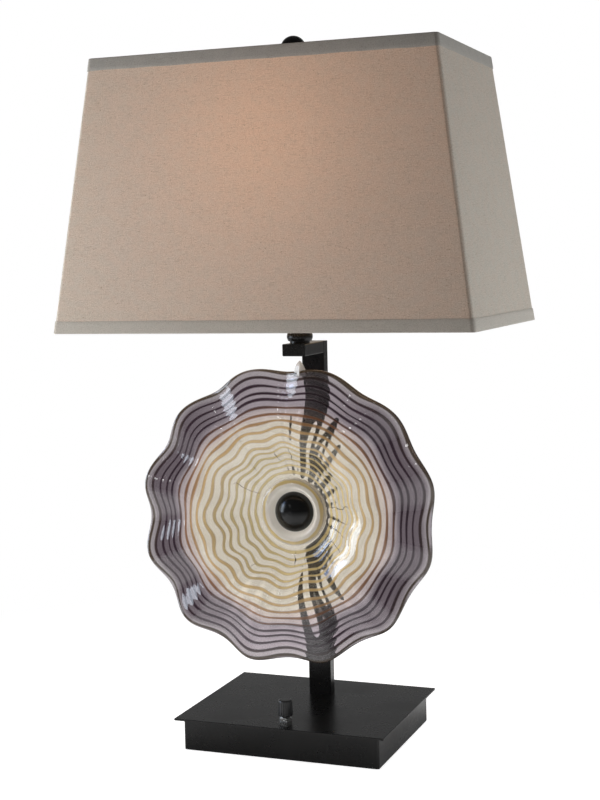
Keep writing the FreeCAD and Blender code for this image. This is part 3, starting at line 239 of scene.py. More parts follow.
class Wiring(NodeNet):
    """The nodes of one material, round its Principled shader."""

    def __init__(self, name: str) -> None:
        """Start a material with its shader.

        Args:
            name: the material's name.
        """
        self.material = bpy.data.materials.new(name)
        self.material.use_nodes = True
        super().__init__(self.material.node_tree)
        self.shader = self.tree.nodes["Principled BSDF"]

    def set(self, **inputs: object) -> None:
        """Set inputs of the Principled shader.

        Args:
            **inputs: values or sockets by the input's name, with underscores for its spaces.
        """
        for name, value in inputs.items():
            if isinstance(value, tuple) and len(value) == 3:
                value = (*value, 1.0)
            self.feed(self.shader.inputs[name.replace("_", " ")], value)

    def place(self) -> Socket:
        """Give the piece's own coordinates at rest, in metres."""
        return self.node("TexCoord").outputs["Object"]

    def join(self, x: object = 0.0, y: object = 0.0, z: object = 0.0) -> Socket:
        """Join three values.

        Args:
            x: the first part or its socket.
            y: the second part or its socket.
            z: the third part or its socket.

        Returns:
            The vector's socket.
        """
        made = self.node("CombineXYZ")
        for socket, value in zip(made.inputs, (x, y, z)):
            self.feed(socket, value)
        return made.outputs[0]

    def stretched(self, vector: Socket, scale: Triple) -> Socket:
        """Scale a vector.

        Args:
            vector: the vector's socket.
            scale: the scale along each axis.

        Returns:
            The scaled vector's socket.
        """
        made = self.node("Mapping")
        self.feed(made.inputs["Vector"], vector)
        made.inputs["Scale"].default_value = scale
        return made.outputs[0]

    def noise(self, vector: Socket, scale: float = 1.0, detail: float = 2.0,
              roughness: float = 0.5) -> Socket:
        """Give smooth random values about 0.5.

        Args:
            vector: where to read them.
            scale: how many lumps there are per unit.
            detail: how many finer layers are added.
            roughness: how strong the finer layers are.

        Returns:
            The value's socket.
        """
        made = self.node("TexNoise")
        self.feed(made.inputs["Vector"], vector)
        made.inputs["Scale"].default_value = scale
        made.inputs["Detail"].default_value = detail
        made.inputs["Roughness"].default_value = roughness
        return made.outputs[0]

    def ramp(self, value: Socket, places: tuple[float, ...], colours: tuple[Colour, ...]) -> Socket:
        """Give a colour for a value between the colours of its stops.

        Args:
            value: the value from 0 to 1.
            places: where the stops are, in order.
            colours: each stop's colour.

        Returns:
            The colour's socket.
        """
        made = self.node("ValToRGB")
        elements = made.color_ramp.elements
        while len(elements) < len(places):
            elements.new(1.0)
        for element, place, colour in zip(elements, places, colours):
            element.position = place
            element.color = (*colour, 1.0)
        self.feed(made.inputs[0], value)
        return made.outputs[0]

    def lit_by_bulb(self, height: float, near: float, falloff: float, strength: float) -> Socket:
        """Give the bulb's light at the surface.

        Args:
            height: how high the light's middle is above the table, in metres.
            near: the distance at which the light has its strength, in metres.
            falloff: the power of the distance by which it falls off.
            strength: the light at that distance.

        Returns:
            The light's socket.
        """
        away = self.node("VectorMath", operation="DISTANCE")
        self.feed(away.inputs[0], self.place())
        away.inputs[1].default_value = (0.0, 0.0, height)
        ratio = self.math("DIVIDE", near, away.outputs["Value"])
        return self.product(self.math("POWER", ratio, falloff), strength)

    def bump(self, height: Socket, depth: float, strength: float = 1.0) -> None:
        """Roughen the surface.

        Args:
            height: the relief from 0 to 1.
            depth: how high 1 is, in metres.
            strength: how much of the relief shows.
        """
        made = self.node("Bump")
        made.inputs["Strength"].default_value = strength
        made.inputs["Distance"].default_value = depth
        self.feed(made.inputs["Height"], height)
        self.feed(self.shader.inputs["Normal"], made.outputs[0])


MADE: dict[str, bpy.types.Material] = {}


@dataclass(frozen=True)
class Finish(ABC):
    """A surface finish: each kind wires its own nodes."""

    name: str

    @abstractmethod
    def wire(self, w: Wiring) -> None:
        """Wire the finish's nodes.

        Args:
            w: the material's wiring.
        """

    def make(self) -> bpy.types.Material:
        """Make the material, once and for all that share it.

        Returns:
            The material.
        """
        if self.name not in MADE:
            w = Wiring(self.name)
            self.wire(w)
            MADE[self.name] = w.material
        return MADE[self.name]


@dataclass(frozen=True)
class SatinPaint(Finish):
    """Baked black paint on steel, with a fine orange-peel skin and faint rubbed patches."""

    colour: Colour = (0.0042, 0.0040, 0.0040)
    worn: Colour = (0.0055, 0.0052, 0.0052)
    roughness: float = 0.27
    shine: float = 0.27
    peel_scale: float = 900.0
    peel_depth: float = 0.0012 * MM
    cloud_scale: float = 22.0
    grain_scale: float = 260.0
    grain_share: float = 0.3
    worn_range: Range = (0.5, 0.85)
    rough_range: Range = (0.4, 0.9)
    smoother: float = 0.04
    rougher: float = 0.07

    def wire(self, w: Wiring) -> None:
        """Wire the paint.

        Args:
            w: the material's wiring.
        """
        place = w.place()
        cloud = w.noise(place, self.cloud_scale, 3.0)
        grain = w.noise(place, self.grain_scale)
        rub = w.math("MULTIPLY_ADD", grain, self.grain_share, cloud)
        w.set(Base_Color=w.mix(w.spread(rub, *self.worn_range), self.colour, self.worn),
              Roughness=w.spread(rub, *self.rough_range, self.roughness - self.smoother,
                                 self.roughness + self.rougher),
              Specular_IOR_Level=self.shine)
        w.bump(w.noise(place, self.peel_scale), self.peel_depth)


@dataclass(frozen=True)
class PlatedMetal(Finish):
    """Plated or bare metal with fine tool marks across one axis."""

    colour: Colour = (0.62, 0.62, 0.62)
    dark: Colour = (0.42, 0.42, 0.43)
    roughness: float = 0.22
    marks: Triple = (60.0, 60.0, 2600.0)
    marks_depth: float = 0.01 * MM
    cloud_scale: float = 60.0
    rough_shares: Range = (0.7, 1.4)

    def wire(self, w: Wiring) -> None:
        """Wire the metal.

        Args:
            w: the material's wiring.
        """
        place = w.place()
        cloud = w.noise(place, self.cloud_scale, 3.0)
        marks = w.noise(w.stretched(place, self.marks))
        smooth, rough = self.rough_shares
        w.set(Base_Color=w.mix(w.spread(cloud, *CLOUDY), self.colour, self.dark),
              Metallic=1.0,
              Roughness=w.spread(marks, *GRAINY, self.roughness * smooth, self.roughness * rough))
        w.bump(marks, self.marks_depth)


@dataclass(frozen=True)
class CastIron(Finish):
    """Sand-cast iron, dark and pitted."""

    colour: Colour = (0.06, 0.057, 0.055)
    rust: Colour = (0.10, 0.06, 0.045)
    metallic: float = 0.5
    roughness: Range = (0.55, 0.8)
    pit_scale: float = 420.0
    pit_depth: float = 0.12 * MM
    stain_scale: float = 35.0
    stain_range: Range = (0.52, 0.72)

    def wire(self, w: Wiring) -> None:
        """Wire the casting.

        Args:
            w: the material's wiring.
        """
        place = w.place()
        pits = w.noise(place, self.pit_scale, 4.0, 0.65)
        stain = w.spread(w.noise(place, self.stain_scale, 3.0), *self.stain_range)
        w.set(Base_Color=w.mix(stain, self.colour, self.rust), Metallic=self.metallic,
              Roughness=w.spread(pits, *GRAINY, *self.roughness))
        w.bump(pits, self.pit_depth)


@dataclass(frozen=True)
class Moulding(Finish):
    """Moulded plastic or rubber with a fine spark-eroded grain."""

    colour: Colour = (0.014, 0.014, 0.0145)
    pale: Colour = (0.022, 0.022, 0.023)
    roughness: float = 0.42
    shine: float = 0.4
    grain_scale: float = 1500.0
    grain_depth: float = 0.02 * MM
    cloud_scale: float = 90.0
    rough_swing: float = 0.06

    def wire(self, w: Wiring) -> None:
        """Wire the plastic.

        Args:
            w: the material's wiring.
        """
        place = w.place()
        grain = w.noise(place, self.grain_scale)
        cloud = w.noise(place, self.cloud_scale)
        w.set(Base_Color=w.mix(w.spread(cloud, *CLOUDY), self.colour, self.pale),
              Roughness=w.spread(grain, *GRAINY, self.roughness - self.rough_swing,
                                 self.roughness + self.rough_swing),
              Specular_IOR_Level=self.shine)
        w.bump(grain, self.grain_depth)


@dataclass(frozen=True)
class PaperTube(Finish):
    """Pressed card of the socket's insulating tube."""

    colour: Colour = (0.36, 0.30, 0.22)
    fleck: Colour = (0.22, 0.17, 0.11)
    roughness: float = 0.85
    fibres: Triple = (300.0, 300.0, 1500.0)
    fibre_range: Range = (0.5, 0.7)
    fibre_depth: float = 0.05 * MM

    def wire(self, w: Wiring) -> None:
        """Wire the card.

        Args:
            w: the material's wiring.
        """
        fibres = w.noise(w.stretched(w.place(), self.fibres), 1.0, 3.0)
        w.set(Base_Color=w.mix(w.spread(fibres, *self.fibre_range), self.colour, self.fleck),
              Roughness=self.roughness)
        w.bump(fibres, self.fibre_depth)


@dataclass(frozen=True)
class FrostedGlass(Finish):
    """Inside-frosted bulb glass, lit from within."""

    colour: Colour = (0.80, 0.78, 0.74)
    light: Colour = (1.0, 0.74, 0.47)
    strength: float = 1.6
    neck_share: float = 0.25
    middle: float = 0.547
    reach: float = 0.05
    haze_scale: float = 140.0
    haze_share: float = 0.94
    roughness: Range = (0.22, 0.34)

    def wire(self, w: Wiring) -> None:
        """Wire the glass: brightest round the filament, dimmer at the neck.

        Args:
            w: the material's wiring.
        """
        place = w.place()
        away = w.math("ABSOLUTE", w.math("SUBTRACT", w.split(place)[2], self.middle))
        haze = w.noise(place, self.haze_scale, 3.0)
        w.set(Base_Color=w.mix(w.spread(haze, *GRAINY), self.colour,
                               paler(self.colour, self.haze_share)),
              Roughness=w.spread(haze, *GRAINY, *self.roughness),
              Emission_Color=self.light,
              Emission_Strength=w.spread(away, 0.0, self.reach, self.strength,
                                         self.neck_share * self.strength))


@dataclass(frozen=True)
class Linen(Finish):
    """Plain-woven linen on a stiff backing, with slubs both ways and the bulb's light in it.

    The weave follows the piece's UV map, in metres along and up the cloth. The light that comes
    through falls off with the distance from the bulb.
    """

    colour: Colour = (0.525, 0.468, 0.405)
    slub: Colour = (0.35, 0.29, 0.225)
    grey: Colour = (0.50, 0.468, 0.412)
    pale: Colour = (0.64, 0.59, 0.525)
    roughness: float = 0.92
    shine: float = 0.18
    sheen: float = 0.12
    sheen_roughness: float = 0.5
    light: Colour = (1.0, 0.43, 0.17)
    glow: float = 0.26
    glow_height: float = 0.625
    glow_near: float = 0.12
    glow_falloff: float = 1.4
    slub_shadow: float = 0.4
    turned: float = 0.5
    turned_range: Range = (0.955, 0.988)
    stroke: float = 0.46
    fleck: float = 0.85
    weft_scale: Range = (130.0, 760.0)
    fleck_scale: Range = (430.0, 560.0)
    cloud_scale: Range = (34.0, 60.0)
    mottle_scale: Range = (75.0, 95.0)
    grain_scale: Range = (820.0, 940.0)
    weft_slubs: Range = (0.50, 0.74)
    warp_slubs: Range = (0.52, 0.74)
    warp_share: float = 0.7
    fleck_range: Range = (0.66, 0.76)
    cloud_range: Range = (0.30, 0.65)
    cloud_shares: Range = (0.35, 1.45)
    weft_pale: Range = (0.46, 0.28)
    warp_pale: Range = (0.45, 0.26)
    pale_share: float = 0.35
    mottle_range: Range = (0.40, 0.62)
    grain_pale: Range = (0.55, 0.70)
    grain_pale_share: float = 0.75
    grain_dark: Range = (0.45, 0.30)
    grain_dark_share: float = 0.7
    thread: float = 0.9 * MM
    weave_depth: float = 0.06 * MM
    weave_parts: Triple = (0.4, 0.9, 0.6)

    def wire(self, w: Wiring) -> None:
        """Wire the cloth.

        Args:
            w: the material's wiring.
        """
        cloth = w.node("UVMap", uv_map="cloth").outputs[0]
        weft = self.yarn(w, cloth, self.weft_scale, 3.0, 0.6)
        warp = self.yarn(w, cloth, self.weft_scale[::-1], 3.0, 0.6)
        dark = self.slubs(w, cloth, weft, warp)
        w.set(Base_Color=self.dyed(w, cloth, weft, warp, dark), Roughness=self.roughness,
              Specular_IOR_Level=self.shine, Sheen_Weight=self.sheen,
              Sheen_Roughness=self.sheen_roughness)
        self.wire_light(w, dark)
        along, up, _ = w.split(cloth)
        over = w.math("SINE", w.product(along, FULL_TURN / self.thread))
        under = w.math("SINE", w.product(up, FULL_TURN / self.thread))
        weave = w.math("MULTIPLY_ADD", w.product(over, under), 0.25, 0.5)
        height = w.math("ADD", w.product(weave, self.weave_parts[0]),
                        w.product(weft, self.weave_parts[1]))
        w.bump(w.math("ADD", height, w.product(warp, self.weave_parts[2])), self.weave_depth)

    @staticmethod
    def yarn(w: Wiring, cloth: Socket, scale: Range, detail: float = 1.0,
             roughness: float = 0.5) -> Socket:
        """Give noise that is stretched along or across the cloth.

        Args:
            w: the material's wiring.
            cloth: the place on the cloth.
            scale: how many lumps there are per metre along and up the cloth.
            detail: how many finer layers are added.
            roughness: how strong the finer layers are.

        Returns:
            The value's socket.
        """
        return w.noise(w.stretched(cloth, (*scale, 1.0)), 1.0, detail, roughness)

    def slubs(self, w: Wiring, cloth: Socket, weft: Socket, warp: Socket) -> Socket:
        """Wire the thick dark stretches of yarn and the flecks, in drifts.

        Args:
            w: the material's wiring.
            cloth: the place on the cloth.
            weft: the noise along the cloth.
            warp: the noise up the cloth.

        Returns:
            The socket of how dark the yarn is.
        """
        strokes = w.math("MAXIMUM", w.spread(weft, *self.weft_slubs),
                         w.product(w.spread(warp, *self.warp_slubs), self.warp_share))
        flecks = w.spread(self.yarn(w, cloth, self.fleck_scale), *self.fleck_range)
        dark = w.math("MAXIMUM", w.product(strokes, self.stroke), w.product(flecks, self.fleck))
        cloudy = self.yarn(w, cloth, self.cloud_scale, 3.0, 0.6)
        return w.product(dark, w.spread(cloudy, *self.cloud_range, *self.cloud_shares))

    def dyed(self, w: Wiring, cloth: Socket, weft: Socket, warp: Socket, dark: Socket) -> Socket:
        """Wire the yarn's colour.

        Args:
            w: the material's wiring.
            cloth: the place on the cloth.
            weft: the noise along the cloth.
            warp: the noise up the cloth.
            dark: how dark the slubs are.

        Returns:
            The colour's socket.
        """
        mottled = self.yarn(w, cloth, self.mottle_scale, 2.0)
        grain = self.yarn(w, cloth, self.grain_scale)
        light = w.math("MAXIMUM", w.spread(weft, *self.weft_pale), w.spread(warp, *self.warp_pale))
        colour = w.mix(w.spread(mottled, *self.mottle_range), self.colour, self.grey)
        layers = ((light, self.pale_share, self.pale),
                  (w.spread(grain, *self.grain_pale), self.grain_pale_share, self.pale),
                  (w.spread(grain, *self.grain_dark), self.grain_dark_share, self.slub))
        for share, most, tone in layers:
            colour = w.mix(w.product(share, most), colour, tone)
        return w.mix(dark, colour, self.slub)

    def wire_light(self, w: Wiring, dark: Socket) -> None:
        """Wire the light from within, dimmer where a slub blocks it and where the cloth turns.

        Args:
            w: the material's wiring.
            dark: how dark the slubs are.
        """
        strength = w.lit_by_bulb(self.glow_height, self.glow_near, self.glow_falloff, self.glow)
        clear = w.math("MULTIPLY_ADD", dark, -self.slub_shadow, 1.0)
        facing = w.math("ABSOLUTE", w.split(w.node("TexCoord").outputs["Normal"])[1])
        flat = w.math("MAXIMUM", w.spread(facing, *self.turned_range), self.turned)
        w.set(Emission_Color=self.light, Emission_Strength=w.product(strength, w.product(clear, flat)))


@dataclass(frozen=True)
class ShadeLining(Finish):
    """White styrene that stiffens the linen, lit by the bulb."""

    colour: Colour = (0.74, 0.72, 0.68)
    haze_scale: float = 30.0
    haze_share: float = 0.95
    roughness: float = 0.5
    shine: float = 0.35
    light: Colour = (1.0, 0.66, 0.36)
    glow: float = 0.55
    glow_height: float = 0.56
    glow_near: float = 0.11
    glow_falloff: float = 1.3
    grain_scale: float = 500.0
    grain_depth: float = 0.02 * MM

    def wire(self, w: Wiring) -> None:
        """Wire the lining.

        Args:
            w: the material's wiring.
        """
        haze = w.noise(w.place(), self.haze_scale)
        w.set(Base_Color=w.mix(haze, self.colour, paler(self.colour, self.haze_share)),
              Roughness=self.roughness, Specular_IOR_Level=self.shine, Emission_Color=self.light,
              Emission_Strength=w.lit_by_bulb(self.glow_height, self.glow_near, self.glow_falloff,
                                              self.glow))
        w.bump(w.noise(w.place(), self.grain_scale), self.grain_depth)


@dataclass(frozen=True)
class ThreadedGlass(Finish):
    """Tinted glass with rings of trailed colour in it.

    The UV map "threads" holds the turn in U and the number of the ring, over rings_shown, in V.
    Light that passes a surface is tinted by the root of its colour, so the tint is shared by the
    front face, which has the threads, and the back face, which has none.
    """

    threaded: bool = True
    rings_shown: float = 20.0
    thread_width: float = 0.175
    thread_edge: float = 0.085
    cream: Colour = (0.645, 0.59, 0.495)
    blush: Colour = (0.55, 0.465, 0.435)
    mauve: Colour = (0.345, 0.30, 0.328)
    deep: Colour = (0.145, 0.118, 0.135)
    smoke: Colour = (0.375, 0.34, 0.355)
    honey: Colour = (0.74, 0.56, 0.24)
    amber: Colour = (0.62, 0.40, 0.17)
    russet: Colour = (0.27, 0.12, 0.055)
    violet: Colour = (0.024, 0.011, 0.019)
    olive: Colour = (0.05, 0.033, 0.02)
    tint_places: tuple[float, ...] = (0.0, 0.51, 0.585, 0.655, 0.81, 0.87)
    thread_places: tuple[float, ...] = (0.30, 0.48, 0.575, 0.66, 0.83, 0.88)
    deep_sides: Range = (0.2, 0.85)
    deep_start: Range = (0.62, 0.70)
    deep_end: Range = (0.90, 0.83)
    wander_scale: Triple = (2.2, 2.2, 0.9)
    wander_range: Range = (0.25, 0.75)
    wander_widths: Range = (0.7, 1.3)
    wander_rings: float = 1.6
    first_thread: Range = (0.4, 0.8)
    haze_scale: Triple = (3.0, 3.0, 1.2)
    haze_range: Range = (0.45, 0.75)
    milk: float = 0.08
    clearness: float = 0.955
    thread_clearness: float = 0.32
    collar_clearness: float = 0.12
    collar: Colour = (0.80, 0.75, 0.67)
    collar_edge: Range = (0.8, 1.5)
    # The next two set painted light: an emission in the collar's colour that brightens the hub and fades
    # outwards.
    collar_painted_glow: float = 0.36
    painted_glow_edge: Range = (0.5, -0.1)
    hair: Colour = (0.03, 0.016, 0.012)
    spokes: float = 27.0
    spoke_bend: float = 0.9
    bend_scale: Triple = (6.0, 6.0, 0.7)
    hair_width: Range = (0.042, 0.018)
    hair_start: Range = (1.6, 2.2)
    hair_end: Range = (6.2, 5.2)
    gate_scale: Triple = (1.7, 1.7, 0.12)
    gate_range: Range = (0.54, 0.62)
    roughness: float = 0.03
    seed_scale: float = 260.0
    seed_range: Range = (0.73, 0.80)
    seed_depth: float = 0.12 * MM
    seed_strength: float = 0.6

    def wire(self, w: Wiring) -> None:
        """Wire the glass.

        Args:
            w: the material's wiring.
        """
        turn, ring, _ = w.split(w.node("UVMap", uv_map="threads").outputs[0])
        number = w.product(ring, self.rings_shown)
        around = w.product(turn, FULL_TURN)
        circle = w.join(w.math("COSINE", around), w.math("SINE", around), number)
        wander = w.noise(w.stretched(circle, self.wander_scale))
        zone = w.math("DIVIDE", w.math("MULTIPLY_ADD", wander, self.wander_rings, number),
                      self.rings_shown)
        tint = self.tint(w, around, zone, number)
        clear = self.clear(w, circle, number)
        if self.threaded:
            drawn = self.threads(w, wander, number)
            thread = w.ramp(zone, self.thread_places, (self.honey, self.amber, self.russet,
                                                       self.violet, self.violet, self.olive))
            hair = self.hairlines(w, turn, number, circle)
            colour = w.mix(hair, w.mix(drawn, tint, thread), self.hair)
            weight = w.math("MULTIPLY_ADD", drawn,
                            w.math("SUBTRACT", self.thread_clearness, clear), clear)
            # Painted light: the collar gives off its own colour, strongest at the hub.
            glow = w.product(w.spread(number, *self.painted_glow_edge), self.collar_painted_glow)
            w.set(Base_Color=colour, Transmission_Weight=weight, Emission_Color=self.collar,
                  Emission_Strength=glow)
        else:
            w.set(Base_Color=tint, Transmission_Weight=clear)
        w.set(Roughness=self.roughness, IOR=GLASS_INDEX)
        seeds = w.noise(w.place(), self.seed_scale, 1.0)
        w.bump(w.spread(seeds, *self.seed_range), self.seed_depth, self.seed_strength)

    def tint(self, w: Wiring, around: Socket, zone: Socket, number: Socket) -> Socket:
        """Wire the glass's tint: cream within, mauve without and deeper to the left and right, milky at the
        collar.

        Args:
            w: the material's wiring.
            around: the angle about the hub.
            zone: the wandering ring number over the rings shown.
            number: the ring number.

        Returns:
            The colour's socket.
        """
        tint = w.ramp(zone, self.tint_places, (self.cream, self.cream, self.blush, self.mauve,
                                               self.mauve, self.smoke))
        sideways = w.math("ABSOLUTE", w.math("COSINE", around))
        deeper = w.product(w.spread(sideways, *self.deep_sides), w.spread(zone, *self.deep_start),
                           w.spread(zone, *self.deep_end))
        return w.mix(w.spread(number, *self.collar_edge[::-1]), w.mix(deeper, tint, self.deep),
                     self.collar)

    def clear(self, w: Wiring, circle: Socket, number: Socket) -> Socket:
        """Wire how clear the glass is between the threads.

        Args:
            w: the material's wiring.
            circle: the place on the disc, without a seam.
            number: the ring number.

        Returns:
            The socket of the share of light that passes.
        """
        haze = w.noise(w.stretched(circle, self.haze_scale), 1.0, 3.0)
        milky = w.product(w.spread(haze, *self.haze_range), self.milk)
        return w.math("SUBTRACT", w.spread(number, *self.collar_edge, self.collar_clearness,
                                           self.clearness), milky)

    def threads(self, w: Wiring, wander: Socket, number: Socket) -> Socket:
        """Wire the trailed threads, one on each whole ring number.

        Args:
            w: the material's wiring.
            wander: slow noise over the disc.
            number: the ring number.

        Returns:
            The socket of how much of a thread there is.
        """
        away = w.math("ABSOLUTE", w.math("SUBTRACT", number, w.math("ROUND", number)))
        thin, thick = self.wander_widths
        width = w.spread(wander, *self.wander_range, thin * self.thread_width,
                         thick * self.thread_width)
        inside = w.math("SUBTRACT", width, away)
        return w.product(w.spread(inside, -self.thread_edge, self.thread_edge),
                         w.spread(number, *self.first_thread))

    def hairlines(self, w: Wiring, turn: Socket, number: Socket, circle: Socket) -> Socket:
        """Wire the fine radial strokes near the hub, each a few rings long.

        Args:
            w: the material's wiring.
            turn: the share of a full turn about the hub.
            number: the ring number.
            circle: the place on the disc, without a seam.

        Returns:
            The socket of how much of a stroke there is.
        """
        bend = w.noise(w.stretched(circle, self.bend_scale), 1.0, 1.0)
        spoke = w.math("MULTIPLY_ADD", turn, self.spokes, w.product(bend, self.spoke_bend))
        away = w.math("ABSOLUTE", w.math("SUBTRACT", spoke, w.math("ROUND", spoke)))
        gate = w.noise(w.stretched(circle, self.gate_scale), 1.0, 1.0)
        reach = w.product(w.spread(number, *self.hair_start), w.spread(number, *self.hair_end))
        return w.product(w.product(w.spread(away, *self.hair_width), reach),
                         w.spread(gate, *self.gate_range))


@dataclass(frozen=True)
class ClearGlass(Finish):
    """Plain cast glass with a faint tint and soft ripples."""

    colour: Colour = (0.97, 0.965, 0.955)
    clearness: float = 1.0
    roughness: float = 0.02
    ripple_scale: float = 60.0
    ripple_depth: float = 0.1 * MM

    def wire(self, w: Wiring) -> None:
        """Wire the glass.

        Args:
            w: the material's wiring.
        """
        w.set(Base_Color=self.colour, Roughness=self.roughness, IOR=GLASS_INDEX,
              Transmission_Weight=self.clearness)
        w.bump(w.noise(w.place(), self.ripple_scale, 1.0), self.ripple_depth)


BLACK_PAINT = SatinPaint("satin_black_paint")
GLOSS_BLACK = SatinPaint("gloss_black_paint", colour=(0.0032, 0.0032, 0.0035),
                         worn=(0.005, 0.005, 0.005), roughness=0.16, shine=0.3)
CHROME = PlatedMetal("chrome_plate", (0.78, 0.78, 0.77), (0.62, 0.62, 0.62), 0.08)
BRIGHT_NUT = PlatedMetal("bright_nut_plate", (0.95, 0.95, 0.93), (0.85, 0.85, 0.83), 0.34)
ZINC = PlatedMetal("zinc_plate", (0.55, 0.56, 0.58), (0.38, 0.39, 0.41), 0.34)
NICKEL = PlatedMetal("nickel_plate", (0.66, 0.62, 0.55), (0.5, 0.47, 0.42), 0.2)
BRASS = PlatedMetal("brass_shell", (0.70, 0.50, 0.22), (0.48, 0.33, 0.14), 0.26)
WHITE_WIRE = PlatedMetal("plated_shade_wire", (0.66, 0.63, 0.56), (0.5, 0.47, 0.42), 0.3)
ALUMINIUM = PlatedMetal("aluminium_cap", (0.7, 0.7, 0.7), (0.52, 0.52, 0.53), 0.28)
IRON = CastIron("cast_iron")
KNOB_PLASTIC = Moulding("moulded_knob", roughness=0.34)
SWITCH_PLASTIC = Moulding("moulded_switch", (0.018, 0.016, 0.015), (0.03, 0.027, 0.025), 0.5)
INSULATOR = Moulding("moulded_insulator", (0.03, 0.022, 0.018), (0.05, 0.036, 0.03), 0.45)
RUBBER = Moulding("moulded_rubber", (0.02, 0.02, 0.02), (0.035, 0.034, 0.033), 0.75, 0.25, 900.0, 0.04 * MM)
CARD = PaperTube("socket_card")
BULB_GLASS = FrostedGlass("frosted_bulb")
LINEN = Linen("woven_linen")
# The end panels' copy of the linen, with much less of the bulb's painted glow and a different mix of slubs.
END_LINEN = Linen("woven_linen_ends", glow=0.05, turned=1.0, stroke=0.5, fleck=0.6)
TAPE = Linen("woven_tape", colour=(0.51, 0.475, 0.425), slub=(0.37, 0.335, 0.29),
             grey=(0.49, 0.465, 0.415), pale=(0.57, 0.54, 0.49), glow=0.05, turned=1.0)
# The top tape's copy of the tape, in darker colours all round: painted shade on the same tape.
SHADED_TOP_TAPE = Linen("woven_top_tape_painted_shade", colour=(0.405, 0.39, 0.36), slub=(0.30, 0.28, 0.245),
                 grey=(0.38, 0.37, 0.345), pale=(0.45, 0.43, 0.405), glow=0.03, turned=1.0)
LIT_TAPE = replace(TAPE, name="lit_woven_tape", light=(1.0, 0.66, 0.36), glow=0.42)
LINING = ShadeLining("shade_lining")
THREADED_GLASS = ThreadedGlass("threaded_glass")
TINTED_GLASS = ThreadedGlass("tinted_glass", threaded=False, clearness=0.93)
MILKY_GLASS = ClearGlass("milky_glass", colour=(0.80, 0.79, 0.78), clearness=0.45)


def coat(finish: Finish, *nodes: str) -> None:
    """Give CAD nodes a finish.

    Args:
        finish: what they are finished with.
        *nodes: the nodes' names.
    """
    material = finish.make()
    for name in nodes:
        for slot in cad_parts[name].material_slots:
            slot.link = "OBJECT"
            slot.material = material
        log.info("%s: %s", name, finish.name)


def add_to_scene(name: str, data: bpy.types.ID) -> bpy.types.Object:
    """Put a mesh, lamp or camera in the scene.

    Args:
        name: the object's name.
        data: what it shows.

    Returns:
        The new object.
    """
    made = bpy.data.objects.new(name, data)
    bpy.context.scene.collection.objects.link(made)
    return made


@dataclass
class Surface:
    """A mesh as it grows: points, faces of four corners, and what each face shows."""

    points: np.ndarray
    faces: np.ndarray
    slots: np.ndarray | None = None
    corners: np.ndarray | None = None
    uv_name: str = ""

    @staticmethod
    def ring_grid(rows: int, columns: int, closed: bool = False) -> np.ndarray:
        """Give the faces of a grid whose columns close on themselves.

        Args:
            rows: how many rings of points there are.
            columns: how many points each ring has.
            closed: whether the last ring meets the first.

        Returns:
            Four corner numbers for each face, ring by ring.
        """
        row = np.arange(rows if closed else rows - 1)[:, None]
        column = np.arange(columns)[None, :]
        following = (column + 1) % columns
        above = (row + 1) % rows
        corners = (row * columns + column, row * columns + following,
                   above * columns + following, above * columns + column)
        return np.stack(corners, axis=-1).reshape(-1, 4)

    def piece(self, name: str, body: str, finishes: tuple[Finish, ...], slot: Slot,
              sharp_over: float) -> bpy.types.Object:
        """Make the piece and let it ride on its body.

        Args:
            name: the piece's name.
            body: the CAD body that carries it.
            finishes: the finishes that slots number.
            slot: not used.
            sharp_over: edges that turn by more degrees than this stay crisp.

        Returns:
            The new object.
        """
        mesh = bpy.data.meshes.new(name)
        mesh.from_pydata(self.points.tolist(), [], self.faces.tolist())
        for finish in finishes:
            mesh.materials.append(finish.make())
        mesh.polygons.foreach_set("use_smooth", np.ones(len(mesh.polygons), bool))
        if self.slots is not None:
            mesh.polygons.foreach_set("material_index", self.slots.astype(np.int32))
        if self.corners is not None:
            layer = mesh.uv_layers.new(name=self.uv_name)
            layer.data.foreach_set("uv", self.corners.astype(np.float32).ravel())
        mesh.set_sharp_from_angle(angle=math.radians(sharp_over))
        mesh.validate()
        made = add_to_scene(name, mesh)
        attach(made, body)
        log.info("%s rides on %s with %d faces", name, body, len(self.faces))
        return made


class Assembly(ABC):
    """A sub-assembly of the lamp: it builds its own meshes and dresses its CAD nodes."""

    def build(self) -> None:
        """Build the meshes; an assembly whose CAD nodes all stay has none."""

    @abstractmethod
    def dress(self) -> None:
        """Give the CAD nodes their finishes."""


@dataclass
class Base(Assembly):
    """Plate, folded box and what closes it from below."""

    def dress(self) -> None:
        """Finish the base."""
        coat(BLACK_PAINT, "base_box", "top_plate", "bottom_cover")
        coat(IRON, "ballast_weight")
        coat(ZINC, "cover_screws", "ballast_screws", "post_screws")
        coat(RUBBER, "rubber_feet", "cord_grommet")


@dataclass
class Switch(Assembly):
    """Rotary switch near the plate's front edge."""

    def dress(self) -> None:
        """Finish the switch."""
        coat(SWITCH_PLASTIC, "switch_body")
        coat(CHROME, "switch_bush")
        coat(BRIGHT_NUT, "switch_nut")
        coat(ZINC, "switch_shaft")
        coat(KNOB_PLASTIC, "switch_knob")


@dataclass
class Stand(Assembly):
    """Post, arm and neck."""

    def dress(self) -> None:
        """Finish the stand."""
        coat(BLACK_PAINT, "post", "post_cap", "arm", "arm_end_cap", "neck_washer", "neck_ring")
        coat(ZINC, "post_foot_block", "arm_weld_nut", "threaded_nipple")


@dataclass
class HarpSet(Assembly):
    """Saddle, harp, its sleeves and the stud on its top."""

    def dress(self) -> None:
        """Finish the harp."""
        coat(NICKEL, "harp_saddle", "harp", "harp_stud", "harp_sleeve_left", "harp_sleeve_right")


@dataclass
class SocketSet(Assembly):
    """Socket and bulb."""

    def dress(self) -> None:
        """Finish the socket and the bulb."""
        coat(BRASS, "socket_cap", "socket_shell", "socket_screw_shell", "socket_contact")
        coat(CARD, "socket_liner")
        coat(INSULATOR, "socket_body", "bulb_tip")
        coat(ALUMINIUM, "bulb_base")
        coat(BULB_GLASS, "bulb_glass")


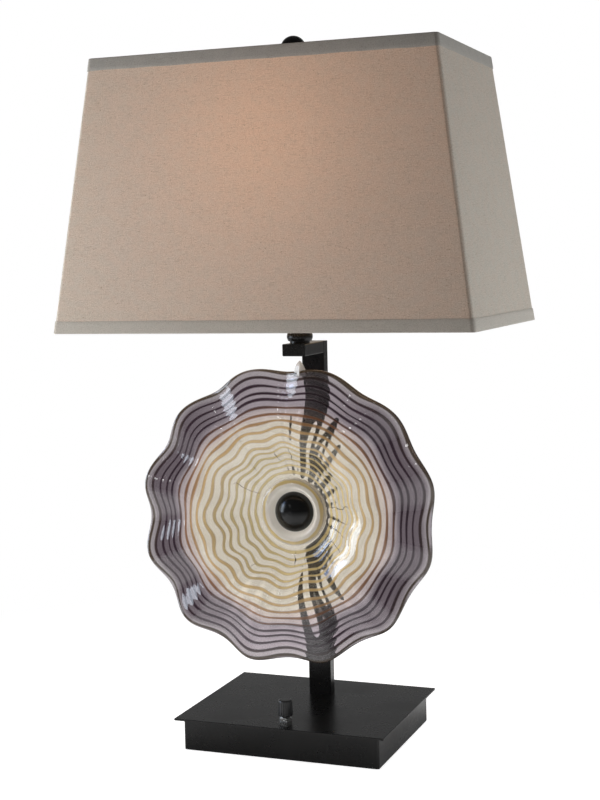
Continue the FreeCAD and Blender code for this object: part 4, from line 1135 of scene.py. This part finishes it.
@dataclass
class DiscFixing(Assembly):
    """What clamps the glass disc to the post."""

    def dress(self) -> None:
        """Finish the cap, the washers, the standoff and the rod."""
        coat(GLOSS_BLACK, "disc_cap")
        coat(RUBBER, "disc_front_washer", "disc_rear_washer")
        coat(BLACK_PAINT, "disc_standoff")
        coat(ZINC, "disc_rod", "disc_rod_washer", "disc_rod_nut")


@dataclass
class GlassDisc(Assembly):
    """Hand-blown ruffled disc: trailed threads, flutes that grow to the rim and a pulled tip.

    Each *_window holds where something starts, peaks and ends, and each *_edge where it begins
    and is complete, both as radii. thread_radii, thread_pitches and drift_waves are in
    millimetres or plain numbers; each drift wave is its height, its turns round the disc, its
    turn per metre of radius and its start.
    """

    level: float = 248.0 * MM
    radius: float = 149.2 * MM
    oval: float = 1.04
    bore: float = 5.5 * MM
    seat_radius: float = 18.5 * MM
    seat_y: float = -20.0 * MM
    hub_thick: float = 8.0 * MM
    bowl_thick: float = 6.5 * MM
    rim_thick: float = 5.0 * MM
    collar_radius: float = 27.0 * MM
    collar_rise: float = 13.5 * MM
    collar_dip: float = 3.0 * MM
    collar_foot: float = 38.0 * MM
    bowl_rise: float = 29.5 * MM
    crest_radius: float = 88.0 * MM
    rim_fall: float = 6.8 * MM
    rim_lean: float = 9.5 * MM
    rim_turn: float = 5.2 * MM
    rim_rounding: float = 1.9 * MM
    flutes: int = 12
    flute_start: float = 80.0 * MM
    flute_lobe: float = 3.3 * MM
    flute_depth: float = 5.0 * MM
    flute_phase: float = 15.0
    flute_lag: float = 126.0
    thread_radii: tuple[float, ...] = (32.0, 42.6, 49.0, 55.0, 61.7, 67.8, 73.0, 82.0, 90.5, 98.8,
                                       105.8, 112.8, 120.6, 126.0, 133.0, 141.0)
    thread_pitches: Range = (7.0, 7.5)
    thread_wave: float = 2.3 * MM
    inner_window: Triple = (34 * MM, 80 * MM, 118 * MM)
    outer_edge: Range = (122 * MM, 146 * MM)
    outer_share: float = 0.35
    drift: float = 0.55 * MM
    drift_waves: tuple[tuple[float, ...], ...] = ((1.0, 1.0, 0.0, 0.7), (0.8, 2.0, 60.0, 2.1),
                                                  (0.7, 5.0, -90.0, 0.0))
    drift_edge: Range = (30 * MM, 60 * MM)
    thread_relief: float = 0.07 * MM
    relief_start: Range = (24 * MM, 34 * MM)
    relief_end: Range = (143 * MM, 149 * MM)
    lens_relief: float = 0.5 * MM
    lens_lag: float = 1.2
    lens_window: Triple = (34 * MM, 112 * MM, 152 * MM)
    rib_relief: float = 1.05 * MM
    ribs: int = 36
    rib_phase: float = -88.7
    rib_least: float = 0.05
    rib_upright: Range = (0.66, 0.84)
    rib_window: Triple = (50 * MM, 92 * MM, 146 * MM)
    fan_relief: float = 0.9 * MM
    fan_ribs: int = 26
    fan_middle: float = 45.0
    fan_spread: Range = (0.3, 0.6)
    fan_window: Triple = (30 * MM, 46 * MM, 70 * MM)
    columns: int = 480
    front_step: float = 0.95 * MM
    back_step: float = 2.2 * MM
    rim_steps: int = 6
    sharp_over: float = 60.0
    tip_angle: float = 84.0
    tip_half_width: float = 7.0 * MM
    tip_height: float = 12.0 * MM
    tip_root: float = 4.0 * MM
    tip_half_thick: float = 3.2 * MM
    tip_blunt: float = 0.15 * MM
    tip_width_curve: float = 0.72
    tip_thick_curve: float = 0.6
    tip_levels: int = 15
    tip_sides: int = 4
    tip_sharp_over: float = 12.0

    def bowl_shift(self, radius: np.ndarray) -> np.ndarray:
        """Give how far the bowl comes forward at a radius."""
        rise = self.bowl_rise * smooth_step(radius, self.collar_foot, self.crest_radius)
        return rise - self.rim_fall * smooth_step(radius, self.crest_radius, self.radius)

    def front(self, radius: np.ndarray) -> np.ndarray:
        """Give the depth of the plain front face.

        Args:
            radius: the radius.

        Returns:
            The depth along Y.
        """
        collar = self.collar_rise * smooth_step(radius, self.seat_radius, self.collar_radius)
        collar = collar - self.collar_dip * smooth_step(radius, self.collar_radius, self.collar_foot)
        return self.seat_y - collar - self.bowl_shift(radius)

    def back(self, radius: np.ndarray) -> np.ndarray:
        """Give the depth of the plain back face.

        Args:
            radius: the radius.

        Returns:
            The depth along Y.
        """
        back_y = self.seat_y + self.hub_thick
        foot = self.seat_y - self.collar_rise + self.collar_dip + self.bowl_thick
        sink = (back_y - foot) * smooth_step(radius, self.seat_radius, self.collar_foot)
        thin = (self.bowl_thick - self.rim_thick) * smooth_step(radius, self.collar_foot, self.radius)
        return back_y - sink - self.bowl_shift(radius) - thin

    def phase(self, angle: np.ndarray) -> np.ndarray:
        """Give the flutes' phase at an angle."""
        return self.flutes * (angle - math.radians(self.flute_phase))

    def bent(self, angle: np.ndarray, radius: np.ndarray, depth: np.ndarray,
             swell: np.ndarray | float = 0.0) -> np.ndarray:
        """Place points of the disc: flutes, oval, lean and turn all grow towards the rim.

        Args:
            angle: the angle about the hub, from +X.
            radius: the plain radius.
            depth: the plain depth.
            swell: what is added to the radius.

        Returns:
            The points, with x, y and z on the last axis.
        """
        wave = smooth_step(radius, self.flute_start, self.radius)
        grow = smooth_step(radius, self.collar_foot, self.crest_radius)
        phase = self.phase(angle)
        reach = radius + swell + self.flute_lobe * wave * np.cos(phase)
        x = reach * (1 + (self.oval - 1) * grow) * np.cos(angle)
        z = reach * np.sin(angle)
        y = depth + self.flute_depth * wave * np.cos(phase + math.radians(self.flute_lag))
        y = y + grow * (self.rim_turn * x + self.rim_lean * z) / self.radius
        return np.stack(np.broadcast_arrays(x, y, self.level + z), axis=-1)

    def ring_number(self, angle: np.ndarray, radius: np.ndarray) -> np.ndarray:
        """Give where a point lies among the trailed rings.

        Args:
            angle: the angle about the hub.
            radius: the plain radius.

        Returns:
            The ring number: whole numbers are threads.
        """
        inner = -hump(radius, *self.inner_window)
        outer = self.outer_share * smooth_step(radius, *self.outer_edge)
        phase = self.phase(angle) + 0.6 * np.sin(3 * angle + 1.0)
        moved = self.thread_wave * (inner + outer) * np.cos(phase)
        waves = sum(height * np.sin(turns * angle + twist * radius + start)
                    for height, turns, twist, start in self.drift_waves)
        drift = self.drift * waves * smooth_step(radius, *self.drift_edge)
        where = (radius - moved - drift) / MM
        radii = np.array(self.thread_radii)
        numbers = np.arange(1, len(radii) + 1)
        found = np.interp(where, radii, numbers)
        inside = 1 - (radii[0] - where) / self.thread_pitches[0]
        outside = numbers[-1] + (where - radii[-1]) / self.thread_pitches[1]
        return np.where(where < radii[0], inside, np.where(where > radii[-1], outside, found))

    def front_relief(self, angle: np.ndarray, radius: np.ndarray) -> np.ndarray:
        """Give how far the front face stands out: a low ridge on each thread.

        Args:
            angle: the angle about the hub.
            radius: the plain radius.

        Returns:
            The height of the relief.
        """
        ridge = self.thread_relief * np.cos(FULL_TURN * self.ring_number(angle, radius))
        fade = smooth_step(radius, *self.relief_start) * (1 - smooth_step(radius, *self.relief_end))
        return fade * ridge

    def back_relief(self, angle: np.ndarray, radius: np.ndarray) -> np.ndarray:
        """Give how far the back face stands out: a lens in each flute and fine radial ribs.

        The long ribs are deep only above and below the hub; a fan of short ones is beside it.

        Args:
            angle: the angle about the hub.
            radius: the plain radius.

        Returns:
            The height of the relief.
        """
        lens = np.cos(self.phase(angle) + self.lens_lag) * hump(radius, *self.lens_window)
        rib = np.sin(self.ribs * (angle - math.radians(self.rib_phase)))
        upright = smooth_step(np.abs(np.sin(angle)), *self.rib_upright)
        rib = rib * (self.rib_least + (1 - self.rib_least) * upright) * hump(radius, *self.rib_window)
        beside = np.cos(angle - math.radians(self.fan_middle))
        fan = np.sin(self.fan_ribs * angle) * smooth_step(beside, *self.fan_spread)
        fan = fan * hump(radius, *self.fan_window)
        return self.lens_relief * lens + self.rib_relief * rib + self.fan_relief * fan

    def shell(self) -> Surface:
        """Build the closed shell: front face, lip, back face and bore.

        Returns:
            The shell, whose faces show the threaded glass in front and the tinted glass behind.
        """
        angle = (np.arange(self.columns) * FULL_TURN / self.columns)[None, :]
        front_count = int((self.radius - self.seat_radius) / self.front_step)
        back_count = int((self.radius - self.seat_radius) / self.back_step)
        outward = np.concatenate([[self.bore], np.linspace(self.seat_radius, self.radius, front_count)])
        inward = np.concatenate([np.linspace(self.radius, self.seat_radius, back_count), [self.bore]])
        outward, inward = outward[:, None], inward[:, None]
        front = self.bent(angle, outward, self.front(outward) - self.front_relief(angle, outward))
        back = self.bent(angle, inward, self.back(inward) + self.back_relief(angle, inward))
        sweep = np.radians(np.linspace(-90, 90, self.rim_steps + 2)[1:-1, None])
        rim = np.full_like(sweep, self.radius)
        near, far = self.front(np.array(self.radius)), self.back(np.array(self.radius))
        lip_depth = (near + far) / 2 + (far - near) / 2 * np.sin(sweep)
        lip = self.bent(angle, rim, lip_depth + 0 * angle, self.rim_rounding * np.cos(sweep))
        points = np.concatenate([front, lip, back])
        numbers = self.ring_number(angle, np.concatenate([outward, rim, inward]))
        rows = len(points)
        faces = Surface.ring_grid(rows, self.columns, closed=True)[:, ::-1]
        row_of = np.repeat(np.arange(rows), self.columns)
        slots = np.where(row_of < len(outward) - 1 + self.rim_steps // 2, 0, 1)
        return Surface(points.reshape(-1, 3), faces, slots, self.thread_map(numbers), "threads")

    @staticmethod
    def thread_map(numbers: np.ndarray) -> np.ndarray:
        """Give the UV corners of each face: the turn, and the ring number over the rings shown.

        Args:
            numbers: the ring number of each point, ring by ring.

        Returns:
            A pair for each corner of each face.
        """
        rows, columns = numbers.shape
        row = np.arange(rows)[:, None]
        column = np.arange(columns)[None, :]
        above = (row + 1) % rows
        following = (column + 1) % columns
        low = np.broadcast_to(column / columns, (rows, columns))
        high = np.broadcast_to((column + 1) / columns, (rows, columns))
        ring = numbers / THREADED_GLASS.rings_shown
        corners = [(low, ring[row, column]), (high, ring[row, following]),
                   (high, ring[above, following]), (low, ring[above, column])][::-1]
        return np.stack([np.stack(pair, axis=-1) for pair in corners], axis=2).reshape(-1, 2)

    def tip(self) -> Surface:
        """Build the small pulled tip on the rim.

        Returns:
            A leaf with a ridge down its middle, open at both ends.
        """
        depth = (self.front(np.array(self.radius)) + self.back(np.array(self.radius))) / 2
        root = self.bent(np.array(math.radians(self.tip_angle)), np.array(self.radius), depth)
        around = np.arange(self.tip_sides) * FULL_TURN / self.tip_sides
        rings = []
        for share in np.linspace(0.0, 1.0, self.tip_levels):
            width = self.tip_half_width * math.cos(0.5 * math.pi * share) ** self.tip_width_curve
            thick = self.tip_half_thick * (1 - share) ** self.tip_thick_curve
            x = (width + self.tip_blunt) * np.cos(around)
            y = (thick + self.tip_blunt) * np.sin(around)
            z = np.full_like(x, -self.tip_root + share * (self.tip_height + self.tip_root))
            rings.append(root + np.stack([x, y, z], axis=-1))
        return Surface(np.concatenate(rings), Surface.ring_grid(self.tip_levels, self.tip_sides))

    def build(self) -> None:
        """Build the disc and its tip."""
        disc = self.shell().piece("threaded_disc", "root", (THREADED_GLASS, TINTED_GLASS),
                                  Slot.ART_GLASS, self.sharp_over)
        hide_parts("glass_disc")
        tip = self.tip().piece("disc_tip", "root", (MILKY_GLASS,), Slot.ART_GLASS, self.tip_sharp_over)
        close_ends(tip)

    def dress(self) -> None:
        """The disc's CAD node is replaced, so nothing is left to finish."""


def close_ends(piece: bpy.types.Object) -> None:
    """Close the open ends of a tube-like mesh.

    Args:
        piece: the object whose mesh is closed.
    """
    mesh = bmesh.new()
    mesh.from_mesh(piece.data)
    bmesh.ops.holes_fill(mesh, edges=[e for e in mesh.edges if e.is_boundary])
    bmesh.ops.recalc_face_normals(mesh, faces=mesh.faces)
    mesh.to_mesh(piece.data)
    mesh.free()


@dataclass
class Shade(Assembly):
    """Tapered rectangular shade: four linen panels and a folded tape round each edge."""

    corner: float = 4.0 * MM
    thick: float = 1.2 * MM
    tape_thick: float = 0.7 * MM
    tape_height: float = 12.0 * MM
    tape_inside: float = 4.4 * MM
    tape_inner_height: float = 5.0 * MM
    tape_uneven: float = 0.16 * MM
    tape_waves: tuple[int, int] = (9, 23)
    tape_fuller: float = 0.16 * MM
    fuller_reach: float = 9 * MM
    outer_leg: float = 0.3 * MM
    upper_edge: float = 11 * MM
    lit_share: float = 0.4
    corner_steps: int = 7
    long_steps: int = 56
    short_steps: int = 34
    level_steps: int = 44
    sag: float = 0.28 * MM
    level_slack: float = 0.2 * MM
    panel_sharp_over: float = 40.0
    tape_sharp_over: float = 60.0
    bottom: float = field(init=False)
    top: float = field(init=False)
    half_width: Range = field(init=False)
    half_depth: Range = field(init=False)

    def __post_init__(self) -> None:
        """Read the shade's size from the CAD panels."""
        low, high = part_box("shade_panel_front")
        self.bottom, self.top = low.z, high.z
        self.half_width = (self.reach("shade_panel_right", 0, low.z),
                           self.reach("shade_panel_right", 0, high.z))
        self.half_depth = (self.reach("shade_panel_back", 1, low.z),
                           self.reach("shade_panel_back", 1, high.z))

    def reach(self, node: str, axis: int, level: float) -> float:
        """Give how far a node reaches along an axis at a level."""
        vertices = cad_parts[node].data.vertices
        return max(v.co[axis] for v in vertices if abs(v.co.z - level) < self.level_slack)

    def half_sizes(self, level: np.ndarray | float) -> tuple[np.ndarray, np.ndarray]:
        """Give half the shade's outer size.

        Args:
            level: the height.

        Returns:
            Half the width and half the depth.
        """
        share = (np.asarray(level) - self.bottom) / (self.top - self.bottom)
        width = self.half_width[0] + share * (self.half_width[1] - self.half_width[0])
        depth = self.half_depth[0] + share * (self.half_depth[1] - self.half_depth[0])
        return width, depth

    def side_line(self, side: Side, level: float, offset: float) -> np.ndarray:
        """Place points along one side, from the middle of a round corner to the next.

        Args:
            side: which side.
            level: the height.
            offset: how far outside the wall's outer face.

        Returns:
            The points from left to right as seen from inside the back side.
        """
        width, depth = self.half_sizes(level)
        is_long = side in (Side.FRONT, Side.BACK)
        length, distance = (width, depth) if is_long else (depth, width)
        end, centre = length - self.corner, distance - self.corner
        size = self.corner + offset
        angles = np.radians(np.linspace(45, 90, self.corner_steps + 1))
        steps = self.long_steps if is_long else self.short_steps
        middle = np.linspace(-end, end, steps + 1)[1:-1]
        x = np.concatenate([-end - size * np.cos(angles), middle, (end + size * np.cos(angles))[::-1]])
        arc = centre + size * np.sin(angles)
        y = np.concatenate([arc, np.full_like(middle, centre + size), arc[::-1]])
        turn = math.radians(side.value)
        return np.stack([x * math.cos(turn) - y * math.sin(turn),
                         x * math.sin(turn) + y * math.cos(turn), np.full_like(x, level)], axis=-1)

    def full_ring(self, level: float, offset: float) -> np.ndarray:
        """Place points all round the shade at a level, clockwise from above."""
        order = (Side.LEFT, Side.BACK, Side.RIGHT, Side.FRONT)
        return np.concatenate([self.side_line(side, level, offset)[:-1] for side in order])

    def bulge(self, share: np.ndarray, rise: float, phases: np.ndarray) -> np.ndarray:
        """Give how far the hand-laminated cloth stands out, nothing at the corners and edges.

        Args:
            share: how far along the side, from 0 to 1.
            rise: how far up the side, from 0 to 1.
            phases: where the three waves start.

        Returns:
            The bulge at each place along the side.
        """
        wave = np.sin(5.1 * share + 2.3 * rise + phases[0]) + np.sin(
            2.7 * rise * math.pi + 9.0 * share + phases[1]) + 0.5 * np.sin(17 * share + phases[2])
        return self.sag * wave * np.sin(math.pi * share) * math.sin(math.pi * rise)

    def panel(self, side: Side) -> Surface:
        """Build one panel as a closed sheet: linen outside, lining inside.

        Args:
            side: which side of the shade.

        Returns:
            The panel, whose UV map follows the cloth in metres.
        """
        phases = np.random.default_rng(SEED + side.value).uniform(0, FULL_TURN, 4)
        rings, maps = [], []
        for level in np.linspace(self.bottom, self.top, self.level_steps + 1):
            plain = self.side_line(side, level, 0.0)
            along = np.concatenate([[0.0], np.cumsum(np.linalg.norm(np.diff(plain, axis=0), axis=1))])
            rise = (level - self.bottom) / (self.top - self.bottom)
            outward = plain[len(plain) // 2] - np.array([0, 0, level])
            outward = outward / np.linalg.norm(outward)
            moved = outward * self.bulge(along / along[-1], rise, phases)[:, None]
            inner = self.side_line(side, level, -self.thick) + moved
            rings.append(np.concatenate([plain + moved, inner[::-1]]))
            reach = np.concatenate([along, along[::-1]]) - along[-1] / 2
            maps.append(np.stack([reach, np.full_like(reach, level)], axis=-1))
        rows, count = len(rings), len(rings[0])
        half = count // 2
        column = np.tile(np.arange(count), rows - 1)
        slots = np.where((column >= half) & (column < count - 1), 1, 0)
        caps = []
        for start, flip in ((0, True), ((rows - 1) * count, False)):
            for k in range(half - 1):
                quad = [start + k, start + k + 1, start + count - 2 - k, start + count - 1 - k]
                caps.append(quad[::-1] if flip else quad)
        faces = np.concatenate([Surface.ring_grid(rows, count), np.array(caps)])[:, ::-1]
        slots = np.concatenate([slots, np.zeros(len(caps), int)])
        corners = np.concatenate(maps)[faces.ravel()]
        return Surface(np.concatenate(rings), faces, slots, corners, "cloth")

    def tape_profile(self, rim: Rim) -> list[tuple[float, float]]:
        """Give the folded tape's section.

        Args:
            rim: which edge of the shade.

        Returns:
            Pairs of an offset outside the wall and a height from the edge.
        """
        thick, inside = self.tape_thick, self.tape_inside
        outer = [(0.05 * MM, self.tape_height), (0.45 * MM, self.tape_height + 0.12 * MM),
                 (thick, self.tape_height - 0.35 * MM), (thick + 0.06 * MM, 8 * MM),
                 (thick + 0.04 * MM, 4 * MM), (thick, 0.6 * MM), (0.86 * thick, -0.1 * MM),
                 (0.55 * thick, -0.5 * MM), (0.0, -thick)]
        inner = [(-inside * 0.5, -thick), (-inside - 0.2 * MM, -thick),
                 (-inside - 0.55 * MM, -0.45 * MM), (-inside - thick, 0.2 * MM),
                 (-inside - thick, self.tape_inner_height - 0.3 * MM),
                 (-inside - 0.35 * MM, self.tape_inner_height),
                 (-inside, self.tape_inner_height - 0.3 * MM), (-inside, 0.0),
                 (-self.thick - 0.1 * MM, 0.0), (0.0, 0.0)]
        steps = outer + inner
        return steps if rim is Rim.BOTTOM else steps[::-1]

    def tape(self, rim: Rim) -> Surface:
        """Build a tape round an edge, slightly uneven in height and fuller at the corners.

        Args:
            rim: which edge of the shade.

        Returns:
            The closed tape, whose inner faces show the lit cloth.
        """
        edge = self.bottom if rim is Rim.BOTTOM else self.top
        base = self.full_ring(edge, 0.0)
        steps = np.linalg.norm(np.roll(base, -1, axis=0) - base, axis=1)
        along = np.concatenate([[0.0], np.cumsum(steps)])[:-1]
        around = FULL_TURN * along / steps.sum()
        slow, fast = self.tape_waves
        uneven = self.tape_uneven * (np.sin(slow * around) + np.sin(fast * around + 1.3))
        width, depth = self.half_sizes(edge)
        distance = np.hypot(np.abs(base[:, 0]) - width, np.abs(np.abs(base[:, 1]) - depth))
        fuller = self.tape_fuller * np.exp(-(distance / self.fuller_reach) ** 2)
        profile = self.tape_profile(rim)
        rings = []
        for offset, height in profile:
            level = edge + rim.value * height
            moved = self.full_ring(level, offset)
            if offset > self.outer_leg:
                away = moved - np.array([0, 0, level])
                moved = moved + away / np.linalg.norm(away, axis=1)[:, None] * fuller[:, None]
            if height > self.upper_edge:
                moved[:, 2] += rim.value * uneven
            rings.append(moved)
        faces = Surface.ring_grid(len(rings), len(base), closed=True)
        cloth = np.concatenate([np.stack([along, np.full_like(along, height)], axis=-1)
                                for _, height in profile])
        inside = np.array([offset < -self.lit_share * self.tape_inside for offset, _ in profile])
        slots = np.repeat((inside & np.roll(inside, -1)).astype(int), len(base))
        return Surface(np.concatenate(rings), faces, slots, cloth[faces.ravel()], "cloth")

    def build(self) -> None:
        """Build the panels and the tapes."""
        for side in Side:
            name = side.name.lower()
            linen = LINEN if side in (Side.FRONT, Side.BACK) else END_LINEN
            made = self.panel(side).piece("linen_" + name, "shade", (linen, LINING), Slot.SHADE_LINEN,
                                          self.panel_sharp_over)
            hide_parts("shade_panel_" + name)
        for rim in Rim:
            name = rim.name.lower()
            # The top edge takes the darker tape copy, which carries painted shade.
            tapes = (TAPE if rim is Rim.BOTTOM else SHADED_TOP_TAPE, LIT_TAPE)
            made = self.tape(rim).piece("tape_" + name, "shade", tapes, Slot.SHADE_TAPE,
                                        self.tape_sharp_over)
            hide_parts(f"shade_{name}_trim")

    def dress(self) -> None:
        """Finish the shade's wires and its hub."""
        coat(WHITE_WIRE, "shade_top_wire", "shade_bottom_wire", "shade_hub", "spider_arms")


@dataclass
class Finial(Assembly):
    """Ball finial that holds the shade down."""

    def dress(self) -> None:
        """Finish the ball."""
        coat(BLACK_PAINT, "finial")


@dataclass
class SoftBox:
    """A square lamp: it lights what is matt, or else it is only seen in what is glossy."""

    name: str
    place: Triple
    aim: Triple
    size: float
    power: float
    colour: Colour = WHITE
    mirrored: bool = False

    def build(self) -> None:
        """Hang the lamp and turn it to its aim."""
        light = bpy.data.lights.new(self.name, "AREA")
        light.shape = "SQUARE"
        light.size = self.size
        light.energy = self.power
        light.color = self.colour
        made = add_to_scene(self.name, light)
        made.location = self.place
        made.rotation_euler = (Vector(self.aim) - Vector(self.place)).to_track_quat("-Z", "Y").to_euler()
        made.visible_glossy = self.mirrored
        made.visible_diffuse = not self.mirrored
        made.visible_transmission = self.mirrored
        log.info("lamp %s", self.name)


@dataclass
class Studio:
    """Pale floor, plain world and soft lamps."""

    floor_half: float = 12.0
    floor_colour: Colour = (0.80, 0.80, 0.80)
    floor_roughness: float = 0.9
    floor_shown: float = 0.86
    fade: Range = (0.16, 0.75)
    mirrored_near: float = 0.12
    mirrored_far: float = 0.45
    near_sweep: Range = (0.13, 0.25)
    far_sweep: Range = (0.46, 0.85)
    room_sweep: Range = (3.6, 2.4)
    room_floor: float = 0.25
    ambient: float = 0.05
    backdrop_height: Range = (0.08, 0.36)
    room_depth: Range = (0.0, 0.75)
    room_dim: float = 0.2
    room_least: float = 0.14
    through_least: float = 0.85
    wall_turn: Range = (0.05, 0.32)
    wall_shown: float = 0.8
    wall_dim: float = 0.42
    lamps: tuple[SoftBox, ...] = (
        SoftBox("key_lamp", (-0.8, -0.36, 0.54), (0.0, -0.1, 0.5), 0.45, 5.2),
        SoftBox("low_lamp", (-0.52, -0.94, 0.14), (0.0, 0.0, 0.3), 0.26, 2.95),
        SoftBox("back_lamp", (0.1, 1.4, 0.75), (0.0, 0.0, 0.45), 0.5, 7.0),
        SoftBox("side_lamp", (1.15, 0.15, 0.30), (0.0, 0.0, 0.5), 0.45, 6.6, (0.95, 0.98, 1.0)),
        SoftBox("window", (-0.75, -1.7, 1.15), (0.0, 0.0, 0.3), 0.13, 0.45, mirrored=True),
        SoftBox("tall_window", (-1.0, -0.38, 0.43), (0.05, -0.04, 0.21), 0.58, 7.0, (0.80, 0.89, 1.0),
                mirrored=True),
        SoftBox("sky_window", (-1.3, -0.47, 0.87), (0.0, -0.05, 0.25), 0.5, 4.0, (0.42, 0.6, 1.0),
                mirrored=True),
        SoftBox("front_card", (-0.42, -1.2, 0.14), (0.0, 0.0, 0.14), 0.32, 0.15, mirrored=True),
    )

    def floor(self) -> None:
        """Lay the floor: it takes soft shadows and shows nearly white to the camera."""
        w = Wiring("pale_floor")
        mesh = bpy.data.meshes.new("floor")
        half = self.floor_half
        mesh.from_pydata([(-half, -half, 0), (half, -half, 0), (half, half, 0), (-half, half, 0)], [],
                         [(0, 1, 2, 3)])
        mesh.materials.append(w.material)
        made = add_to_scene("floor", mesh)
        path = w.node("LightPath").outputs
        seen = w.math("MAXIMUM", path["Is Camera Ray"], path["Is Transmission Ray"])
        away = w.node("VectorMath", operation="LENGTH")
        w.feed(away.inputs[0], w.place())
        distance = away.outputs["Value"]
        far = w.product(seen, w.spread(distance, *self.fade))
        shown = w.product(seen, w.math("MULTIPLY_ADD", far, 1 - self.floor_shown, self.floor_shown))
        sweep = w.math("MINIMUM", w.spread(distance, *self.near_sweep, self.mirrored_near, 1.0),
                       w.spread(distance, *self.far_sweep, 1.0, self.mirrored_far))
        gone = w.spread(distance, *self.room_sweep, self.room_floor, 1.0)
        mirrored = w.product(path["Is Glossy Ray"], w.product(sweep, gone))
        shown = w.math("MAXIMUM", shown, mirrored)
        w.set(Base_Color=w.mix(far, self.floor_colour, BLACK), Roughness=self.floor_roughness,
              Specular_IOR_Level=0.0, Emission_Color=WHITE, Emission_Strength=shown)

    def world(self) -> None:
        """Light the world: white where it is seen, mirrored or looked at through glass."""
        world = bpy.data.worlds.new("studio")
        bpy.context.scene.world = world
        world.use_nodes = True
        net = NodeNet(world.node_tree)
        background = net.tree.nodes["Background"]
        background.inputs["Color"].default_value = (*WHITE, 1.0)
        path = net.node("LightPath").outputs
        through, mirrored = self.backdrop(net)
        through = net.product(path["Is Transmission Ray"], through)
        white = net.math("MAXIMUM", path["Is Camera Ray"], through)
        seen = net.math("MAXIMUM", path["Is Camera Ray"],
                        net.math("MAXIMUM", path["Is Transmission Ray"], path["Is Glossy Ray"]))
        shown = net.math("MAXIMUM", white, net.product(path["Is Glossy Ray"], mirrored))
        extra = net.product(seen, net.math("SUBTRACT", shown, self.ambient))
        net.feed(background.inputs["Strength"], net.math("ADD", extra, self.ambient))

    def backdrop(self, net: NodeNet) -> tuple[Socket, Socket]:
        """Wire the white backdrop behind the lamp and the dim room to the sides and in front.

        Args:
            net: the world's nodes.

        Returns:
            What glass lets through and what mirrors show; mirrors see the backdrop only low down.
        """
        turn, depth, height = net.split(net.node("TexCoord").outputs["Generated"])
        low = net.spread(height, *self.backdrop_height, 1.0, 0.0)
        behind = net.spread(depth, *self.room_depth, self.room_dim, 1.0)
        wall = net.spread(turn, *self.wall_turn, self.wall_shown, self.wall_dim * self.wall_shown)
        mirrored = net.math("MAXIMUM", net.product(low, behind, wall), self.room_least)
        return net.math("MAXIMUM", behind, self.through_least), mirrored

    def build(self) -> None:
        """Set up the floor, the world and the lamps."""
        self.floor()
        self.world()
        for lamp in self.lamps:
            lamp.build()
        bpy.context.scene.view_settings.view_transform = "Standard"


@dataclass
class ViewCamera:
    """Camera at the photograph's angle, given for a frame of 600 by 800 pixels."""

    place: Triple = (0.573394, -1.479721, 0.511858)
    azimuth: float = 21.23
    elevation: float = 5.37
    roll: float = -1.31
    focal_pixels: float = 1510.55
    frame_height: int = 800
    sensor: float = 36.0
    clip: Range = (0.05, 50.0)

    def build(self) -> None:
        """Set the camera up."""
        azimuth, elevation, roll = (math.radians(a) for a in (self.azimuth, self.elevation, self.roll))
        back = Vector((math.sin(azimuth) * math.cos(elevation),
                       -math.cos(azimuth) * math.cos(elevation), math.sin(elevation)))
        level = Vector((math.cos(azimuth), math.sin(azimuth), 0.0))
        upright = back.cross(level)
        right = level * math.cos(roll) + upright * math.sin(roll)
        up = back.cross(right)
        data = bpy.data.cameras.new("view")
        data.sensor_width = self.sensor
        data.lens = self.sensor * self.focal_pixels / self.frame_height
        data.clip_start, data.clip_end = self.clip
        made = add_to_scene("view", data)
        made.matrix_world = Matrix((
            (right.x, up.x, back.x, self.place[0]), (right.y, up.y, back.y, self.place[1]),
            (right.z, up.z, back.z, self.place[2]), (0.0, 0.0, 0.0, 1.0)))
        bpy.context.scene.camera = made


def main() -> None:
    """Build and dress the lamp, then set up the studio and the camera."""
    logging.basicConfig(level=logging.INFO, format="%(name)s: %(message)s")
    assemblies = (Base(), Switch(), Stand(), HarpSet(), SocketSet(), DiscFixing(), GlassDisc(),
                  Shade(), Finial())
    for assembly in assemblies:
        assembly.build()
        assembly.dress()
    Studio().build()
    ViewCamera().build()


if __name__ == "__main__":
    main()
